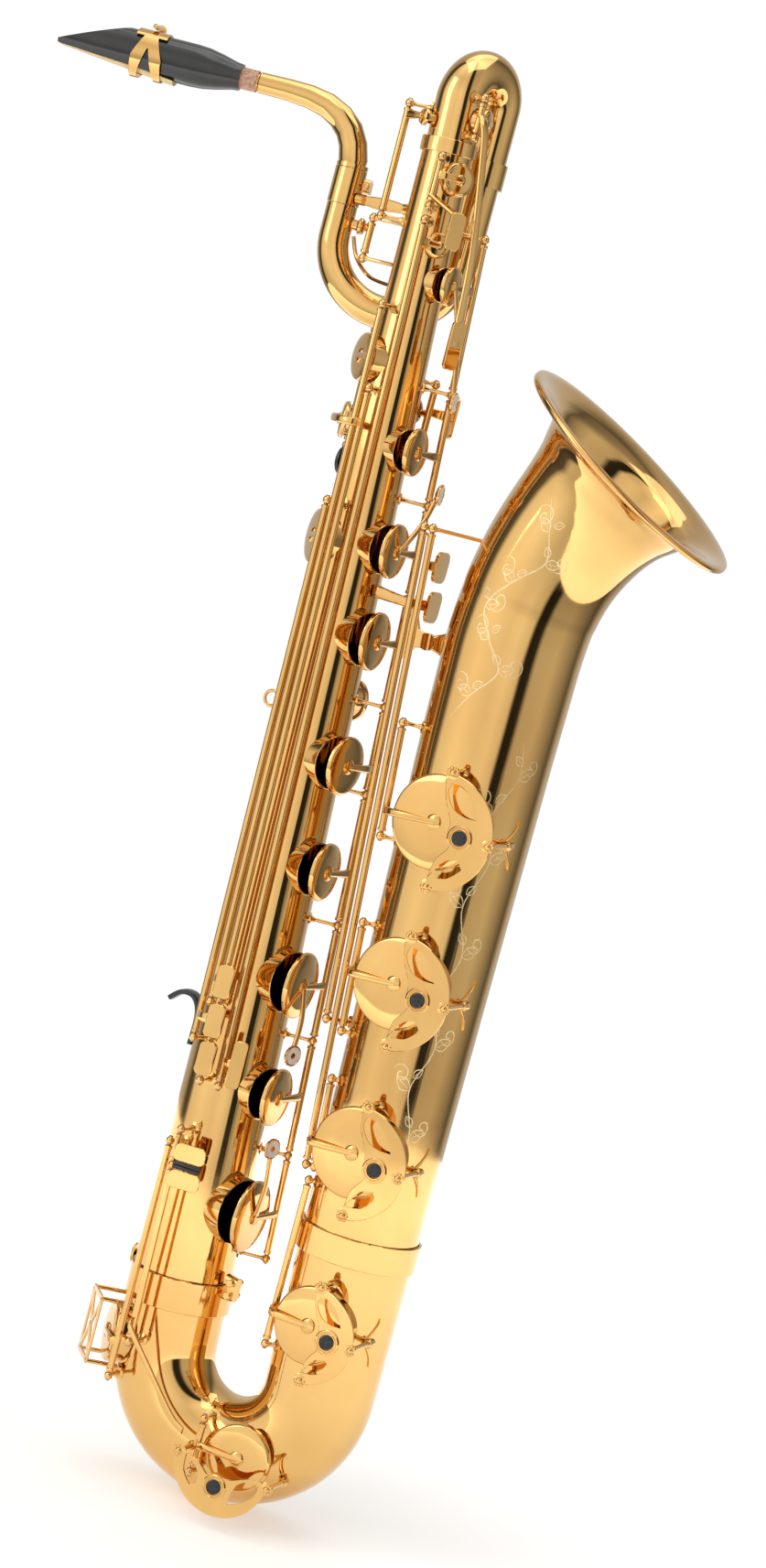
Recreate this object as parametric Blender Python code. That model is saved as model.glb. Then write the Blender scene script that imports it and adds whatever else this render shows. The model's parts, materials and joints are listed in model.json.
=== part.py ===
"""A baritone saxophone: tubes, braces, guards, neck, mouthpiece and sprung keys.

Sizes are millimetres in the horn's own space: X runs towards the bell, Z up along the body,
and the player's right side is -Y. Height zero is near the lowest point of the bow. The whole
horn hangs from its strap ring, so the parent empty brings that ring's centre to the origin.
"""
from math import atan2, cos, degrees, radians, sin, sqrt, tau

import bmesh
import bpy
from mathutils import Matrix, Vector

MM = 0.001

# ---------------------------------------------------------------- driving dimensions
SEAT = 0.3              # clearance between pieces that touch or run on each other
WALL = 1.2              # wall of every brass tube

BODY_FOOT = Vector((-101.4, 0, 129))
BODY_HEIGHT = 818
PLAN_HEIGHT = 818       # the body height that every height of a key below is stated for
BODY_LEAN = -23.2       # how far the body's top stands back from its foot
BODY_FOOT_R = 35.0
BODY_TOP_R = 17.7

BOW_FOOT_Z = 87         # where the bow's bend begins
BOW_R_BELL = 39.4
BELL_BEND_Z = 200       # the bell tube starts here, above the bow's bell ferrule
BELL_X_FOOT = 20.4
BELL_X_THROAT = 15.9
BELL_THROAT_Z = 621
BELL_THROAT_R = 48.0
BELL_CURVE_Z = 560
BELL_RIM_R = 93.4
BELL_RIM_CENTRE = Vector((66.1, 0, 767.8))
BELL_RIM_TILT = 32.9    # degrees that the rim's plane leans forward
BELL_SIDES = 28

BODY_TOP_Z = BODY_FOOT.z + BODY_HEIGHT
TOP_BOW_Z = BODY_TOP_Z + 38     # where the top bow's bend begins
TOP_BOW_SPAN = 45.4
TOP_BOW_HEADING = 71.1  # degrees from +X towards +Y
TOP_BOW_END_R = 13.6
LOOP_SPAN = 92
LOOP_HEADING = 193.2
LOOP_BEND_Z = BODY_TOP_Z - 72
LOOP_TOP_Z = BODY_TOP_Z - 9
LOOP_R = 13.0
SOCKET_R = TOP_BOW_END_R + 2 * SEAT
SOCKET_TOP_Z = BODY_TOP_Z + 3
RECEIVER_Z = (BODY_TOP_Z - 51, BODY_TOP_Z - 25.3)
RECEIVER_WALL = 2.2

NECK_TENON_R = 9.0
NECK_BASE_R = NECK_TENON_R + 1.4
NECK_END_R = 7.4
NECK_AXIS_Z = BODY_TOP_Z + 17.2
CORK_SEAT_R = NECK_END_R - 0.8
CORK_R = CORK_SEAT_R + 1.1
CORK_SPAN = (81, 117)
MOUTHPIECE_R = 15.2
MOUTHPIECE_SPAN = (93.2, 227)
REED_BUTT = 139
REED_THICK = 3.0
REED_TIP_THICK = 0.4
REED_WIDTH = 18.0
REED_TIP_Z = NECK_AXIS_Z - 8.6
REED_BUTT_Z = NECK_AXIS_Z - MOUTHPIECE_R - 2.6
LIGATURE_R = MOUTHPIECE_R + 1.4
LIGATURE_DROP = 0.8
LIGATURE_SPAN = (149, 172)

CHIMNEY = 3.6           # height of a tone hole's chimney above the tube's crown
CHIMNEY_LIP = 1.6       # how far a pad cup reaches past the hole
CUP_HEIGHT = 4.6
ROD_R = 2.5             # hinge tubes
BALL_R = ROD_R + 0.6    # heads of the posts
STEM_R = 1.9
POST_GAP = BALL_R + SEAT
POST_AIM = 40           # how far behind the bell's middle its long posts aim
BOSS_R = 3.0            # bosses under the guards' feet
BOSS_RISE = 0.8
BOSS_ROOT = 9           # how far a boss starts inside its tube, before the bore trims it
FOOT_DEPTH = 8          # how far a post's foot starts inside its tube, before the bore trims it
STACK_HINGE = 110       # degrees round the body from the player's right towards the bell
STACK_STAND = 20.5      # height of the stack's hinge rods above the body
SIDE_STAND = 18
BELL_ROD_STAND = 9.2    # height of the low keys' rods above the bell tube
BELL_ROD_TURN = 36      # degrees that they lie in front of its left side
BELL_ROD_PITCH = ROD_R + BALL_R + 0.8   # between neighbouring rods
BELL_OPENING = 6.5

STRAP_Z = 546.9
RING_R = 5.4
RING_WIRE = 1.3

COLOURS = {
    "lacquered_brass": ((0.72, 0.45, 0.14, 1), 0.22, 1.0),
    "ebonite": ((0.012, 0.012, 0.013, 1), 0.25, 0.0),
    "cork": ((0.62, 0.42, 0.30, 1), 0.85, 0.0),
    "cane": ((0.80, 0.63, 0.34, 1), 0.55, 0.0),
    "black_plastic": ((0.02, 0.02, 0.022, 1), 0.35, 0.0),
}

# ---------------------------------------------------------------- the body's own measure


def level(z):
    """Where a height stated for the plan's body falls on this one."""
    share = min(max((z - BODY_FOOT.z) / PLAN_HEIGHT, 0), 1)
    return z + share * (BODY_HEIGHT - PLAN_HEIGHT)


def body_axis(z):
    """The point on the body tube's axis at height z."""
    return BODY_FOOT + Vector((BODY_LEAN / BODY_HEIGHT * (z - BODY_FOOT.z), 0, z - BODY_FOOT.z))


def body_r(z):
    return BODY_FOOT_R + (BODY_TOP_R - BODY_FOOT_R) * (z - BODY_FOOT.z) / BODY_HEIGHT


def facing(turn):
    """The level direction at that many degrees from the player's right towards the bell."""
    return Vector((sin(radians(turn)), -cos(radians(turn)), 0))


def around(z, turn, stand):
    """A point beside the body: its height, its bearing, and how far it stands off the tube."""
    return body_axis(z) + facing(turn) * (body_r(z) + stand)


def bell_axis(z):
    share = (z - BOW_FOOT_Z) / (BELL_THROAT_Z - BOW_FOOT_Z)
    return Vector((BELL_X_FOOT + (BELL_X_THROAT - BELL_X_FOOT) * share, 0, z))


def bell_r(z):
    share = (z - BOW_FOOT_Z) / (BELL_THROAT_Z - BOW_FOOT_Z)
    return BOW_R_BELL + (BELL_THROAT_R - BOW_R_BELL) * share


BOW_CENTRE = Vector(((body_axis(BOW_FOOT_Z).x + BELL_X_FOOT) / 2, 0, BOW_FOOT_Z))
BOW_BEND_R = (BELL_X_FOOT - body_axis(BOW_FOOT_Z).x) / 2


def bow_point(turn):
    """The bow's centreline, by degrees round the bend from the body's side to the bell's."""
    return BOW_CENTRE + BOW_BEND_R * Vector((-cos(radians(turn)), 0, -sin(radians(turn))))


def bow_r(turn):
    return BODY_FOOT_R + 0.9 + (BOW_R_BELL - BODY_FOOT_R - 0.9) * turn / 180


# ---------------------------------------------------------------- shapes


def shell(points, faces):
    """A mesh from points and faces, with its faces turned outwards."""
    mesh = bpy.data.meshes.new("shape")
    mesh.from_pydata([tuple(p * MM) for p in points], [], faces)
    bm = bmesh.new()
    bm.from_mesh(mesh)
    bmesh.ops.recalc_face_normals(bm, faces=bm.faces)
    bm.to_mesh(mesh)
    bm.free()
    return mesh


def loft(rings, closed=False):
    """Rings of points joined in turn; open ends are capped, and a closed loft meets itself."""
    sides = len(rings[0])
    points = [p for ring in rings for p in ring]
    spans = len(rings) if closed else len(rings) - 1
    faces = []
    for i in range(spans):
        a, b = i * sides, (i + 1) % len(rings) * sides
        faces += [(a + k, a + (k + 1) % sides, b + (k + 1) % sides, b + k) for k in range(sides)]
    if not closed:
        faces.append(tuple(range(sides))[::-1])
        faces.append(tuple(range(len(points) - sides, len(points))))
    return shell(points, faces)


def square_to(axis):
    """Two unit vectors square to an axis and to each other."""
    axis = axis.normalized()
    guide = Vector((0, 0, 1)) if abs(axis.z) < 0.9 else Vector((1, 0, 0))
    side = guide.cross(axis).normalized()
    return side, axis.cross(side)


def circle(centre, side, up, r, sides):
    turns = [tau * k / sides for k in range(sides)]
    return [centre + r * (cos(turn) * side + sin(turn) * up) for turn in turns]


def pipe(points, radii, sides=24):
    """A solid round bar along points, with a radius at each."""
    rings = []
    side, up = None, None
    for i, point in enumerate(points):
        tangent = (points[min(i + 1, len(points) - 1)] - points[max(i - 1, 0)]).normalized()
        if side is None:
            side, up = square_to(tangent)
        else:
            side = (side - tangent * side.dot(tangent)).normalized()
            up = tangent.cross(side)
        rings.append(circle(point, side, up, radii[i], sides))
    return loft(rings)


def rod(start, end, r, sides=8):
    return pipe([start, end], [r, r], sides)


def turned(origin, axis, outline, sides=24, whole=True):
    """A solid turned about an axis. outline is (radius, height) pairs; whole caps both ends."""
    side, up = square_to(axis)
    axis = axis.normalized()
    rings = [circle(origin + axis * h, side, up, r, sides) for r, h in outline]
    return loft(rings, closed=not whole)


def ring(origin, axis, inner, outer, low, high, sides=24):
    """A plain ring with square edges."""
    outline = [(outer, low), (outer, high), (inner, high), (inner, low)]
    return turned(origin, axis, outline, sides, whole=False)


def ball(centre, r, sides=6):
    """A post's head: a short drum between the hinge tubes."""
    return turned(centre, Vector((0, 0, 1)), [(r, -r), (r, r)], sides)


def bar(points, side, widths, thick):
    """A strip along points. side is the way its width lies, and it has a width at each point."""
    rings = []
    for i, point in enumerate(points):
        tangent = (points[min(i + 1, len(points) - 1)] - points[max(i - 1, 0)]).normalized()
        half = side.normalized() * widths[i] / 2
        rise = side.cross(tangent).normalized() * thick / 2
        low, high = point - rise, point + rise
        rings.append([low - half, low + half, high + half, high - half])
    return loft(rings)


def plate(outline, lift):
    """A flat plate: an outline of points, made as thick as the vector lift."""
    return loft([[p - lift / 2 for p in outline], [p + lift / 2 for p in outline]])


def arc(centre, x_way, y_way, r, start, end, steps):
    turns = [radians(start + (end - start) * i / steps) for i in range(steps + 1)]
    return [centre + r * (cos(t) * x_way + sin(t) * y_way) for t in turns]


def merge(base, extras, operation="UNION"):
    """The base mesh joined with, or cut by, the extra meshes."""
    if not extras:
        return base
    helper = bpy.data.collections.new("helpers")
    bpy.context.scene.collection.children.link(helper)
    target = bpy.data.objects.new("target", base)
    bpy.context.scene.collection.objects.link(target)
    for mesh in extras:
        helper.objects.link(bpy.data.objects.new("helper", mesh))
    boolean = target.modifiers.new("merge", "BOOLEAN")
    boolean.operation = operation
    boolean.solver = "EXACT"
    boolean.operand_type = "COLLECTION"
    boolean.collection = helper
    bpy.context.view_layer.update()
    depsgraph = bpy.context.evaluated_depsgraph_get()
    result = bpy.data.meshes.new_from_object(target.evaluated_get(depsgraph))
    for helper_object in list(helper.objects) + [target]:
        bpy.data.objects.remove(helper_object)
    bpy.data.collections.remove(helper)
    return result


# ---------------------------------------------------------------- objects


def start_scene():
    for old in list(bpy.data.objects):
        bpy.data.objects.remove(old)
    horn = bpy.data.objects.new("saxophone", None)
    horn.location = -STRAP_POINT * MM
    bpy.context.scene.collection.objects.link(horn)
    return horn


def finish_of(name):
    material = bpy.data.materials.get(name)
    if material is None:
        colour, roughness, metallic = COLOURS[name]
        material = bpy.data.materials.new(name)
        material.use_nodes = True
        shader = material.node_tree.nodes["Principled BSDF"]
        shader.inputs["Base Color"].default_value = colour
        shader.inputs["Roughness"].default_value = roughness
        shader.inputs["Metallic"].default_value = metallic
        material.diffuse_color = colour
    return material


def make(name, mesh, finish="lacquered_brass", pivot=Vector()):
    """A named piece whose origin is at its pivot."""
    mesh.transform(Matrix.Translation(-pivot * MM))
    mesh.name = name
    mesh.materials.clear()
    mesh.materials.append(finish_of(finish))
    mesh.shade_smooth()
    mesh.set_sharp_from_angle(angle=radians(35))
    piece = bpy.data.objects.new(name, mesh)
    piece.location = pivot * MM
    piece.parent = HORN
    bpy.context.scene.collection.objects.link(piece)
    return piece


class Tube:
    """A tube that takes tone holes and posts, then is joined and bored out in one go."""

    def __init__(self, name, outside, bore):
        self.name, self.outside, self.bore = name, outside, bore
        self.adds, self.cuts = [], []

    def chimney(self, crown, way, tube_r, hole_r):
        """A raised tone hole. crown is on the tube's surface; returns the middle of its seat."""
        seat = crown + way * CHIMNEY
        root = tube_r - sqrt(max(tube_r ** 2 - (hole_r + WALL) ** 2, 0)) + 2
        root = min(root, tube_r)
        sides = 14 if hole_r > 15 else 10
        outer = hole_r + WALL
        self.adds.append(turned(seat, way, [(outer, -CHIMNEY - root), (outer, 0)], sides))
        self.cuts.append(turned(seat, way, [(hole_r, -CHIMNEY - tube_r * 0.9), (hole_r, 1)], sides))
        return seat

    def post(self, head, foot):
        """A post with a ball head; its foot is a point inside the tube."""
        way = (foot - head).normalized()
        self.adds.append(rod(head + way, foot, STEM_R, 4))
        self.adds.append(ball(head, BALL_R))

    def build(self):
        make(self.name, merge(merge(self.outside, self.adds), [self.bore] + self.cuts, "DIFFERENCE"))


# ---------------------------------------------------------------- keys


def turned_about(mesh, point, axis, degrees):
    about = Matrix.Translation(point * MM)
    mesh.transform(about @ Matrix.Rotation(radians(degrees), 4, axis) @ about.inverted())
    return mesh


def cup(seat, way, r):
    """A pad cup just above its seat, with a shouldered, slightly domed back."""
    outline = [(r, SEAT), (r, CUP_HEIGHT - 1.6), (r - 1.8, CUP_HEIGHT), (r * 0.45, CUP_HEIGHT + 0.8)]
    return turned(seat, way, outline, 16 if r > 18 else 10)


def cup_arm(hinge_point, run, seat, way, r, via=(), width=5.5):
    """The arm from the hinge tube, by way of any via points, over the cup's edge to its middle."""
    across = (seat - hinge_point) - (seat - hinge_point).dot(way) * way
    across -= across.dot(run) * run
    inward = across.normalized()
    top = seat + way * (CUP_HEIGHT + 1.4)
    edge = top - inward * (r + 0.5) + way * 0.8
    points = [hinge_point] + list(via) + [edge, top + inward * 3]
    return bar(points, run, [width + 1.5] + [width] * (len(points) - 2) + [width - 1.5], 3.0)


def key(name, low, high, shapes, opening, stands_open, home, posts=(True, True)):
    """A hinged key. shapes are meshes in its closed place, fused to the hinge tube between low and
    high; opening is in degrees, with its sign; home takes the posts, and stands_open keys rest open."""
    run = (high - low).normalized()
    mesh = merge(rod(low, high, ROD_R, 6), shapes)
    if stands_open:
        turned_about(mesh, low, run, opening)
    piece = make(name, mesh, pivot=low)
    swing = -run if stands_open else run
    piece["hinge_axis"] = list(swing * (1 if opening > 0 else -1))
    piece["travel_deg"] = abs(opening)
    for wanted, head in zip(posts, (low - run * POST_GAP, high + run * POST_GAP)):
        if wanted:
            tube, foot = home(head)
            tube.post(head, foot)


def pad_key(name, line, span, seat, way, r, opening, stands_open, home, shapes=(), via=(), **more):
    """A key with one pad cup. line gives a hinge point for a height, and span is the tube's reach."""
    low, high = line(span[0]), line(span[1])
    run = (high - low).normalized()
    hinge_point = low + run * (seat - low).dot(run)
    sign = 1 if run.cross(seat - hinge_point).dot(way) > 0 else -1
    parts = [cup(seat, way, r), cup_arm(hinge_point, run, seat, way, r, via)] + list(shapes)
    key(name, low, high, parts, sign * opening, stands_open, home, **more)


def touch(centre, way, up, width, height, thick=2.4):
    """A finger plate with clipped corners; way is the side the finger presses."""
    side = up.cross(way).normalized()
    w, h, c = width / 2, height / 2, min(width, height) * 0.22
    corners = [(-w, -h + c), (-w + c, -h), (w - c, -h), (w, -h + c)]
    corners += [(w, h - c), (w - c, h), (-w + c, h), (-w, h - c)]
    return plate([centre + side * a + up * b for a, b in corners], way * thick)


def pearl_seat(centre, way, r=7.6):
    return turned(centre, way, [(r - 1.5, -2.4), (r, -0.8), (r, 0), (r - 1, 0.8)], 12)


# ---------------------------------------------------------------- tubes

UP = Vector((0, 0, 1))
PLAYER_RIGHT = Vector((0, -1, 0))
STRAP_PLATE = 1.5
THUMB_REST_Z = level(722)
STRAP_POINT = around(level(STRAP_Z), -90, RING_R + RING_WIRE + 2 * SEAT + STRAP_PLATE)
HORN = start_scene()

BODY_TOP = body_axis(BODY_TOP_Z)


def bored(points, radii, sides):
    """The outside of a tube and the bore that opens both its ends."""
    first, last = points[0] - points[1], points[-1] - points[-2]
    inner = [points[0] + first.normalized()] + points[1:-1] + [points[-1] + last.normalized()]
    return pipe(points, radii, sides), pipe(inner, [r - WALL for r in radii], sides)


BODY = Tube("body_tube", *bored([BODY_FOOT, BODY_TOP], [BODY_FOOT_R, BODY_TOP_R], 24))


def bow_path():
    body_leg = body_axis(BODY_FOOT.z - SEAT)
    bell_leg = bell_axis(BELL_BEND_Z - SEAT)
    turns = [18 * i for i in range(11)]
    points = [body_leg] + [bow_point(t) for t in turns] + [bell_leg]
    return points, [BODY_FOOT_R + 0.4] + [bow_r(t) for t in turns] + [bell_r(BELL_BEND_Z)]


BOW = Tube("bow", *bored(*bow_path(), 20))


RIM_WAY = Vector((sin(radians(BELL_RIM_TILT)), 0, cos(radians(BELL_RIM_TILT))))
# The flare: distance down from the rim, and how far the wall has opened from throat to rim.
FLARE = [(0, 1), (2.5, 0.771), (6, 0.573), (12, 0.374), (21, 0.273), (33, 0.172), (47, 0.11), (64, 0.07)]
FLARE += [(90, 0.031), (125, 0.004)]


def flare_r(distance):
    """The bell's outer radius at a distance down its axis from the rim."""
    opened = FLARE[-1][1]
    for (d0, s0), (d1, s1) in zip(FLARE[-2::-1], FLARE[:0:-1]):
        if distance <= d1:
            opened = s0 + (s1 - s0) * (distance - d0) / (d1 - d0)
    return BELL_THROAT_R + (BELL_RIM_R - BELL_THROAT_R) * opened


def bell_curve(share):
    """The bell's centreline from its straight tube to the rim."""
    start, bend = bell_axis(BELL_CURVE_Z), bell_axis(662)
    near = BELL_RIM_CENTRE - RIM_WAY * 94
    a, b, c, d = (1 - share) ** 3, 3 * share * (1 - share) ** 2, 3 * share ** 2 * (1 - share), share ** 3
    return start * a + bend * b + near * c + BELL_RIM_CENTRE * d


def bell_shapes():
    """The bell's outside and bore, from its straight tube to the flared rim."""
    steps = 400
    samples = [bell_curve(i / steps) for i in range(steps + 1)]
    left = [0.0]
    for here, after in zip(samples[::-1], samples[-2::-1]):
        left.append(left[-1] + (here - after).length)
    left.reverse()
    wanted = [160, 118, 88, 64, 42, 24, 12, 5]
    curve = [samples[min(range(steps + 1), key=lambda i: abs(left[i] - d))] for d in wanted]
    straight = [bell_axis(z) for z in (BELL_BEND_Z, BELL_CURVE_Z)]
    points = straight + curve + [BELL_RIM_CENTRE]
    first = [bell_r(p.z) for p in straight + curve[:1]]
    radii = first + [flare_r(d) for d in wanted[1:]] + [BELL_RIM_R]
    outside = pipe(points, radii, BELL_SIDES)
    inner = [bell_axis(BELL_BEND_Z - 1)] + points[1:] + [BELL_RIM_CENTRE + RIM_WAY * 2]
    bores = [r - WALL for r in first] + [flare_r(d + WALL) - WALL for d in wanted[1:]]
    lip = flare_r(WALL) - WALL
    return outside, pipe(inner, bores + [lip, lip], BELL_SIDES)


BELL = Tube("bell", *bell_shapes())


def on_horn(head):
    """The tube that carries a post with this head, and a foot well inside its wall."""
    to_body = (head - body_axis(head.z)).length - body_r(head.z)
    to_bell = (head - bell_axis(head.z)).length - bell_r(head.z)
    near_body = to_body < to_bell
    if near_body and head.z > BODY_TOP.z:
        axis = body_axis(head.z)
        return TOP_BOW, axis + (head - axis).normalized() * (BODY_TOP_R - FOOT_DEPTH)
    if head.z < BOW_FOOT_Z:
        out = Vector((head.x - BOW_CENTRE.x, 0, head.z - BOW_CENTRE.z)).length - BOW_BEND_R
        depth = sqrt(bow_r(90) ** 2 - out ** 2) - FOOT_DEPTH
        return BOW, Vector((head.x, -depth, head.z))
    if near_body:
        tube = BODY if head.z > BODY_FOOT.z else BOW
        axis, r = body_axis(head.z), body_r(head.z)
    else:
        tube = BELL if head.z > BELL_BEND_Z else BOW
        axis, r = bell_axis(head.z), bell_r(head.z)
    return tube, axis + (head - axis).normalized() * (r - FOOT_DEPTH)


def on_bell(head):
    """A post on the bell tube, aimed behind its middle so that it clears the rods beside it."""
    axis = bell_axis(head.z)
    if head.z > BELL_CURVE_Z:
        axis = min((bell_curve(i / 50) for i in range(40)), key=lambda place: abs(place.z - head.z))
    axis = at_height(axis, head.z)
    way = (axis + Vector((0, POST_AIM, 0)) - head).normalized()
    along = (axis - head).dot(way)
    miss = (axis - head - way * along).length
    return BELL, head + way * (along - sqrt(bell_r(head.z) ** 2 - miss ** 2) + FOOT_DEPTH)


def on_bell_near(head):
    """A short post on the bell tube, straight towards its middle."""
    axis = bell_axis(head.z)
    return BELL, axis + (head - axis).normalized() * (bell_r(head.z) - FOOT_DEPTH)


BEND_WAY = Vector((cos(radians(TOP_BOW_HEADING)), sin(radians(TOP_BOW_HEADING)), 0))
LOOP_WAY = Vector((cos(radians(LOOP_HEADING)), sin(radians(LOOP_HEADING)), 0))
BEND_START = body_axis(TOP_BOW_Z)
RISER = BEND_START + BEND_WAY * TOP_BOW_SPAN
RECEIVER = RISER + LOOP_WAY * LOOP_SPAN
LOOP_SIDE = LOOP_WAY.cross(UP)
LOOP_END_R = NECK_TENON_R + 2
TOP_BOW_R = BODY_TOP_R - 3 * SEAT


def at_height(point, z):
    return Vector((point.x, point.y, z))


def top_bow_path():
    middle = BEND_START + BEND_WAY * TOP_BOW_SPAN / 2
    bend = arc(middle, -BEND_WAY, UP, TOP_BOW_SPAN / 2, 0, 180, 8)
    points = [BODY_TOP + UP * SEAT] + bend + [at_height(RISER, LOOP_TOP_Z + SEAT)]
    shares = [max(0, i - 1) / 9 for i in range(len(points))]
    radii = [TOP_BOW_R + (TOP_BOW_END_R - TOP_BOW_R) * share for share in shares]
    return points, radii


def loop_path():
    middle = at_height(RISER, LOOP_BEND_Z) + LOOP_WAY * LOOP_SPAN / 2
    bend = arc(middle, -LOOP_WAY, -UP, LOOP_SPAN / 2, 0, 180, 10)
    points = [at_height(RISER, LOOP_TOP_Z)] + bend + [at_height(RECEIVER, RECEIVER_Z[0] - SEAT)]
    radii = [LOOP_R + (LOOP_END_R - LOOP_R) * i / (len(points) - 1) for i in range(len(points))]
    return points, radii


TOP_BOW = Tube("top_bow", *bored(*top_bow_path(), 14))
LOOP = Tube("loop_tube", *bored(*loop_path(), 12))
SOCKET_BASE = at_height(RISER, 0)
SOCKET_OUTER = SOCKET_R + WALL
SOCKET_SIDES = 20
SOCKET = [(SOCKET_OUTER, LOOP_TOP_Z - 6), (SOCKET_OUTER, SOCKET_TOP_Z)]
SOCKET_HOLE = [(SOCKET_R, LOOP_TOP_Z), (SOCKET_R, SOCKET_TOP_Z + 1)]
LOOP.adds.append(turned(SOCKET_BASE, UP, SOCKET, SOCKET_SIDES))
LOOP.cuts.append(turned(SOCKET_BASE, UP, SOCKET_HOLE, SOCKET_SIDES))


def neck_at(reach, z, aside=0):
    """A point in the neck's upright plane, by its reach from the receiver and its height."""
    return at_height(RECEIVER, z) + LOOP_WAY * reach + LOOP_SIDE * aside


def fixed_rings():
    """The clamp ring and ferrules that hold the tubes end to end."""
    bow_seam = body_axis(BODY_FOOT.z)
    lean = (BODY_TOP - BODY_FOOT).normalized()
    inner = bow_r(0) + SEAT
    make("bow_clamp_ring", ring(bow_seam, lean, inner, inner + 2, -15, 8, 28))
    bell_inner = bell_r(BELL_BEND_Z + 8) + SEAT
    make("bell_ferrule", ring(bell_axis(BELL_BEND_Z), UP, bell_inner, bell_inner + 2, -13, 7, 28))
    top_inner = body_r(BODY_TOP.z - 9) + SEAT
    make("body_top_ferrule", ring(BODY_TOP, lean, top_inner, top_inner + 1.6, -2, 8, 24))


def fixed_hardware():
    """Receiver, braces, strap plate and ring, thumb hook and thumb rest."""
    base = at_height(RECEIVER, 0)
    collar_r = NECK_TENON_R + SEAT + RECEIVER_WALL
    collar = ring(base, UP, NECK_TENON_R + SEAT, collar_r, *RECEIVER_Z)
    lug_at = base - LOOP_WAY * (collar_r + 2.7) + UP * (RECEIVER_Z[0] + 16)
    lug = bar([lug_at - LOOP_WAY * 2.5, lug_at + LOOP_WAY * 3], UP, [10, 10], 7)
    hole_r = 2.0
    hole = rod(lug_at - LOOP_SIDE * 9, lug_at + LOOP_SIDE * 9, hole_r, 12)
    make("neck_receiver", merge(merge(collar, [lug]), [hole], "DIFFERENCE"))
    shank = rod(lug_at - LOOP_SIDE * 7, lug_at + LOOP_SIDE * 8, hole_r - SEAT, 12)
    wing = bar([lug_at + LOOP_SIDE * 6, lug_at + LOOP_SIDE * 15], UP, [6, 9], 2.4)
    make("receiver_screw", merge(shank, [wing]))

    height = RECEIVER_Z[0] + 6
    run = (at_height(body_axis(height), 0) - base).normalized()
    left = base + run * (collar_r + 3 * SEAT) + UP * height
    right = body_axis(height) - run * (body_r(height) + 3 * SEAT)
    strip = bar([left, (left + right) / 2, right], UP, [5, 9, 5], 2.6)
    knobs = [turned(left, run, [(4, 0), (4, 6)], 12), turned(right, -run, [(4, 0), (4, 6)], 12)]
    make("receiver_brace", merge(strip, knobs))

    stay_thick = 2.6
    outer = base - LOOP_WAY * (LOOP_END_R + stay_thick)
    low = RECEIVER_Z[0] - 50
    foot = around(low, -92, 4 * SEAT)
    stay = [outer + UP * (low + 30), outer + UP * (low + 16) - LOOP_WAY * 6]
    stay += [at_height(foot + (outer - foot) * 0.45, low + 5), foot + UP * 2]
    make("y_brace", bar(stay, LOOP_SIDE, [5, 6, 7, 8], stay_thick))

    y, eye_z, arm_z = -5, level(616), level(640)
    body_edge = body_axis(eye_z).x + body_r(eye_z) + 2 * SEAT
    bell_edge = bell_axis(eye_z).x - bell_r(eye_z) - 2 * SEAT
    eye_at = Vector((bell_edge - 11.4, y, eye_z))
    outline = [(-17, -18), (-8, -6), (-1, -5), (-1, 5), (-8, 7), (-17, arm_z - eye_z + 5)]
    web = plate([eye_at + Vector((x, 0, z)) for x, z in outline], PLAYER_RIGHT * 3)
    arm = bar([Vector((body_edge, y, arm_z)), Vector((eye_at.x - 15, y, arm_z - 2))], UP, [9, 6], 4)
    eye = turned(eye_at, PLAYER_RIGHT, [(6, -2.5), (6, 2.5)], 16)
    foot = bar([eye_at, Vector((bell_edge, y, eye_z + 1))], UP, [7, 16], 4)
    make("bell_brace", merge(web, [arm, eye, foot]))

    stand = SEAT + STRAP_PLATE / 2
    lower, upper = around(STRAP_POINT.z - 19, -90, stand), around(STRAP_POINT.z + 23, -90, stand)
    middle = (lower + upper) / 2
    outline = [lower, middle + PLAYER_RIGHT * 9, upper, middle - PLAYER_RIGHT * 9]
    make("strap_plate", plate(outline, Vector((STRAP_PLATE, 0, 0))))
    wheel = [STRAP_POINT + Vector((cos(t), 0, sin(t))) * RING_R for t in [tau * i / 16 for i in range(16)]]
    rings = []
    for point in wheel:
        way = (point - STRAP_POINT).normalized()
        rings.append(circle(point, way, PLAYER_RIGHT, RING_WIRE, 6))
    make("strap_ring", loft(rings, closed=True))

    hook_thick = 3.6
    stand = hook_thick / 2 + 2 * SEAT
    foot = around(level(294), -90, stand)
    hook = [foot, around(foot.z + 22, -90, stand), foot + Vector((-6, 0, 33)), foot + Vector((-16, 0, 34))]
    hook.append(foot + Vector((-25, 0, 27)))
    make("thumb_hook", bar(hook, PLAYER_RIGHT, [14, 13, 12, 12, 9], hook_thick), "black_plastic")
    rest = around(THUMB_REST_Z, -100, 0)
    make("thumb_rest", turned(rest, facing(-100), [(10.5, 1.0), (10.5, 3.4), (8, 4.6)], 16), "black_plastic")


# ---------------------------------------------------------------- neck and mouthpiece

SWIVEL = at_height(RECEIVER, RECEIVER_Z[0])
REED_RUN = MOUTHPIECE_SPAN[1] - REED_BUTT
REED_STOCK = 30         # length of the reed's full-thickness stock


def reed_z(reach):
    """Height of the reed's underside."""
    return REED_BUTT_Z + (REED_TIP_Z - REED_BUTT_Z) * (reach - REED_BUTT) / REED_RUN


def reed_thick(reach):
    vamp = max(0, reach - REED_BUTT - REED_STOCK) / (REED_RUN - REED_STOCK)
    return REED_THICK + (REED_TIP_THICK - REED_THICK) * vamp


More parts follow.
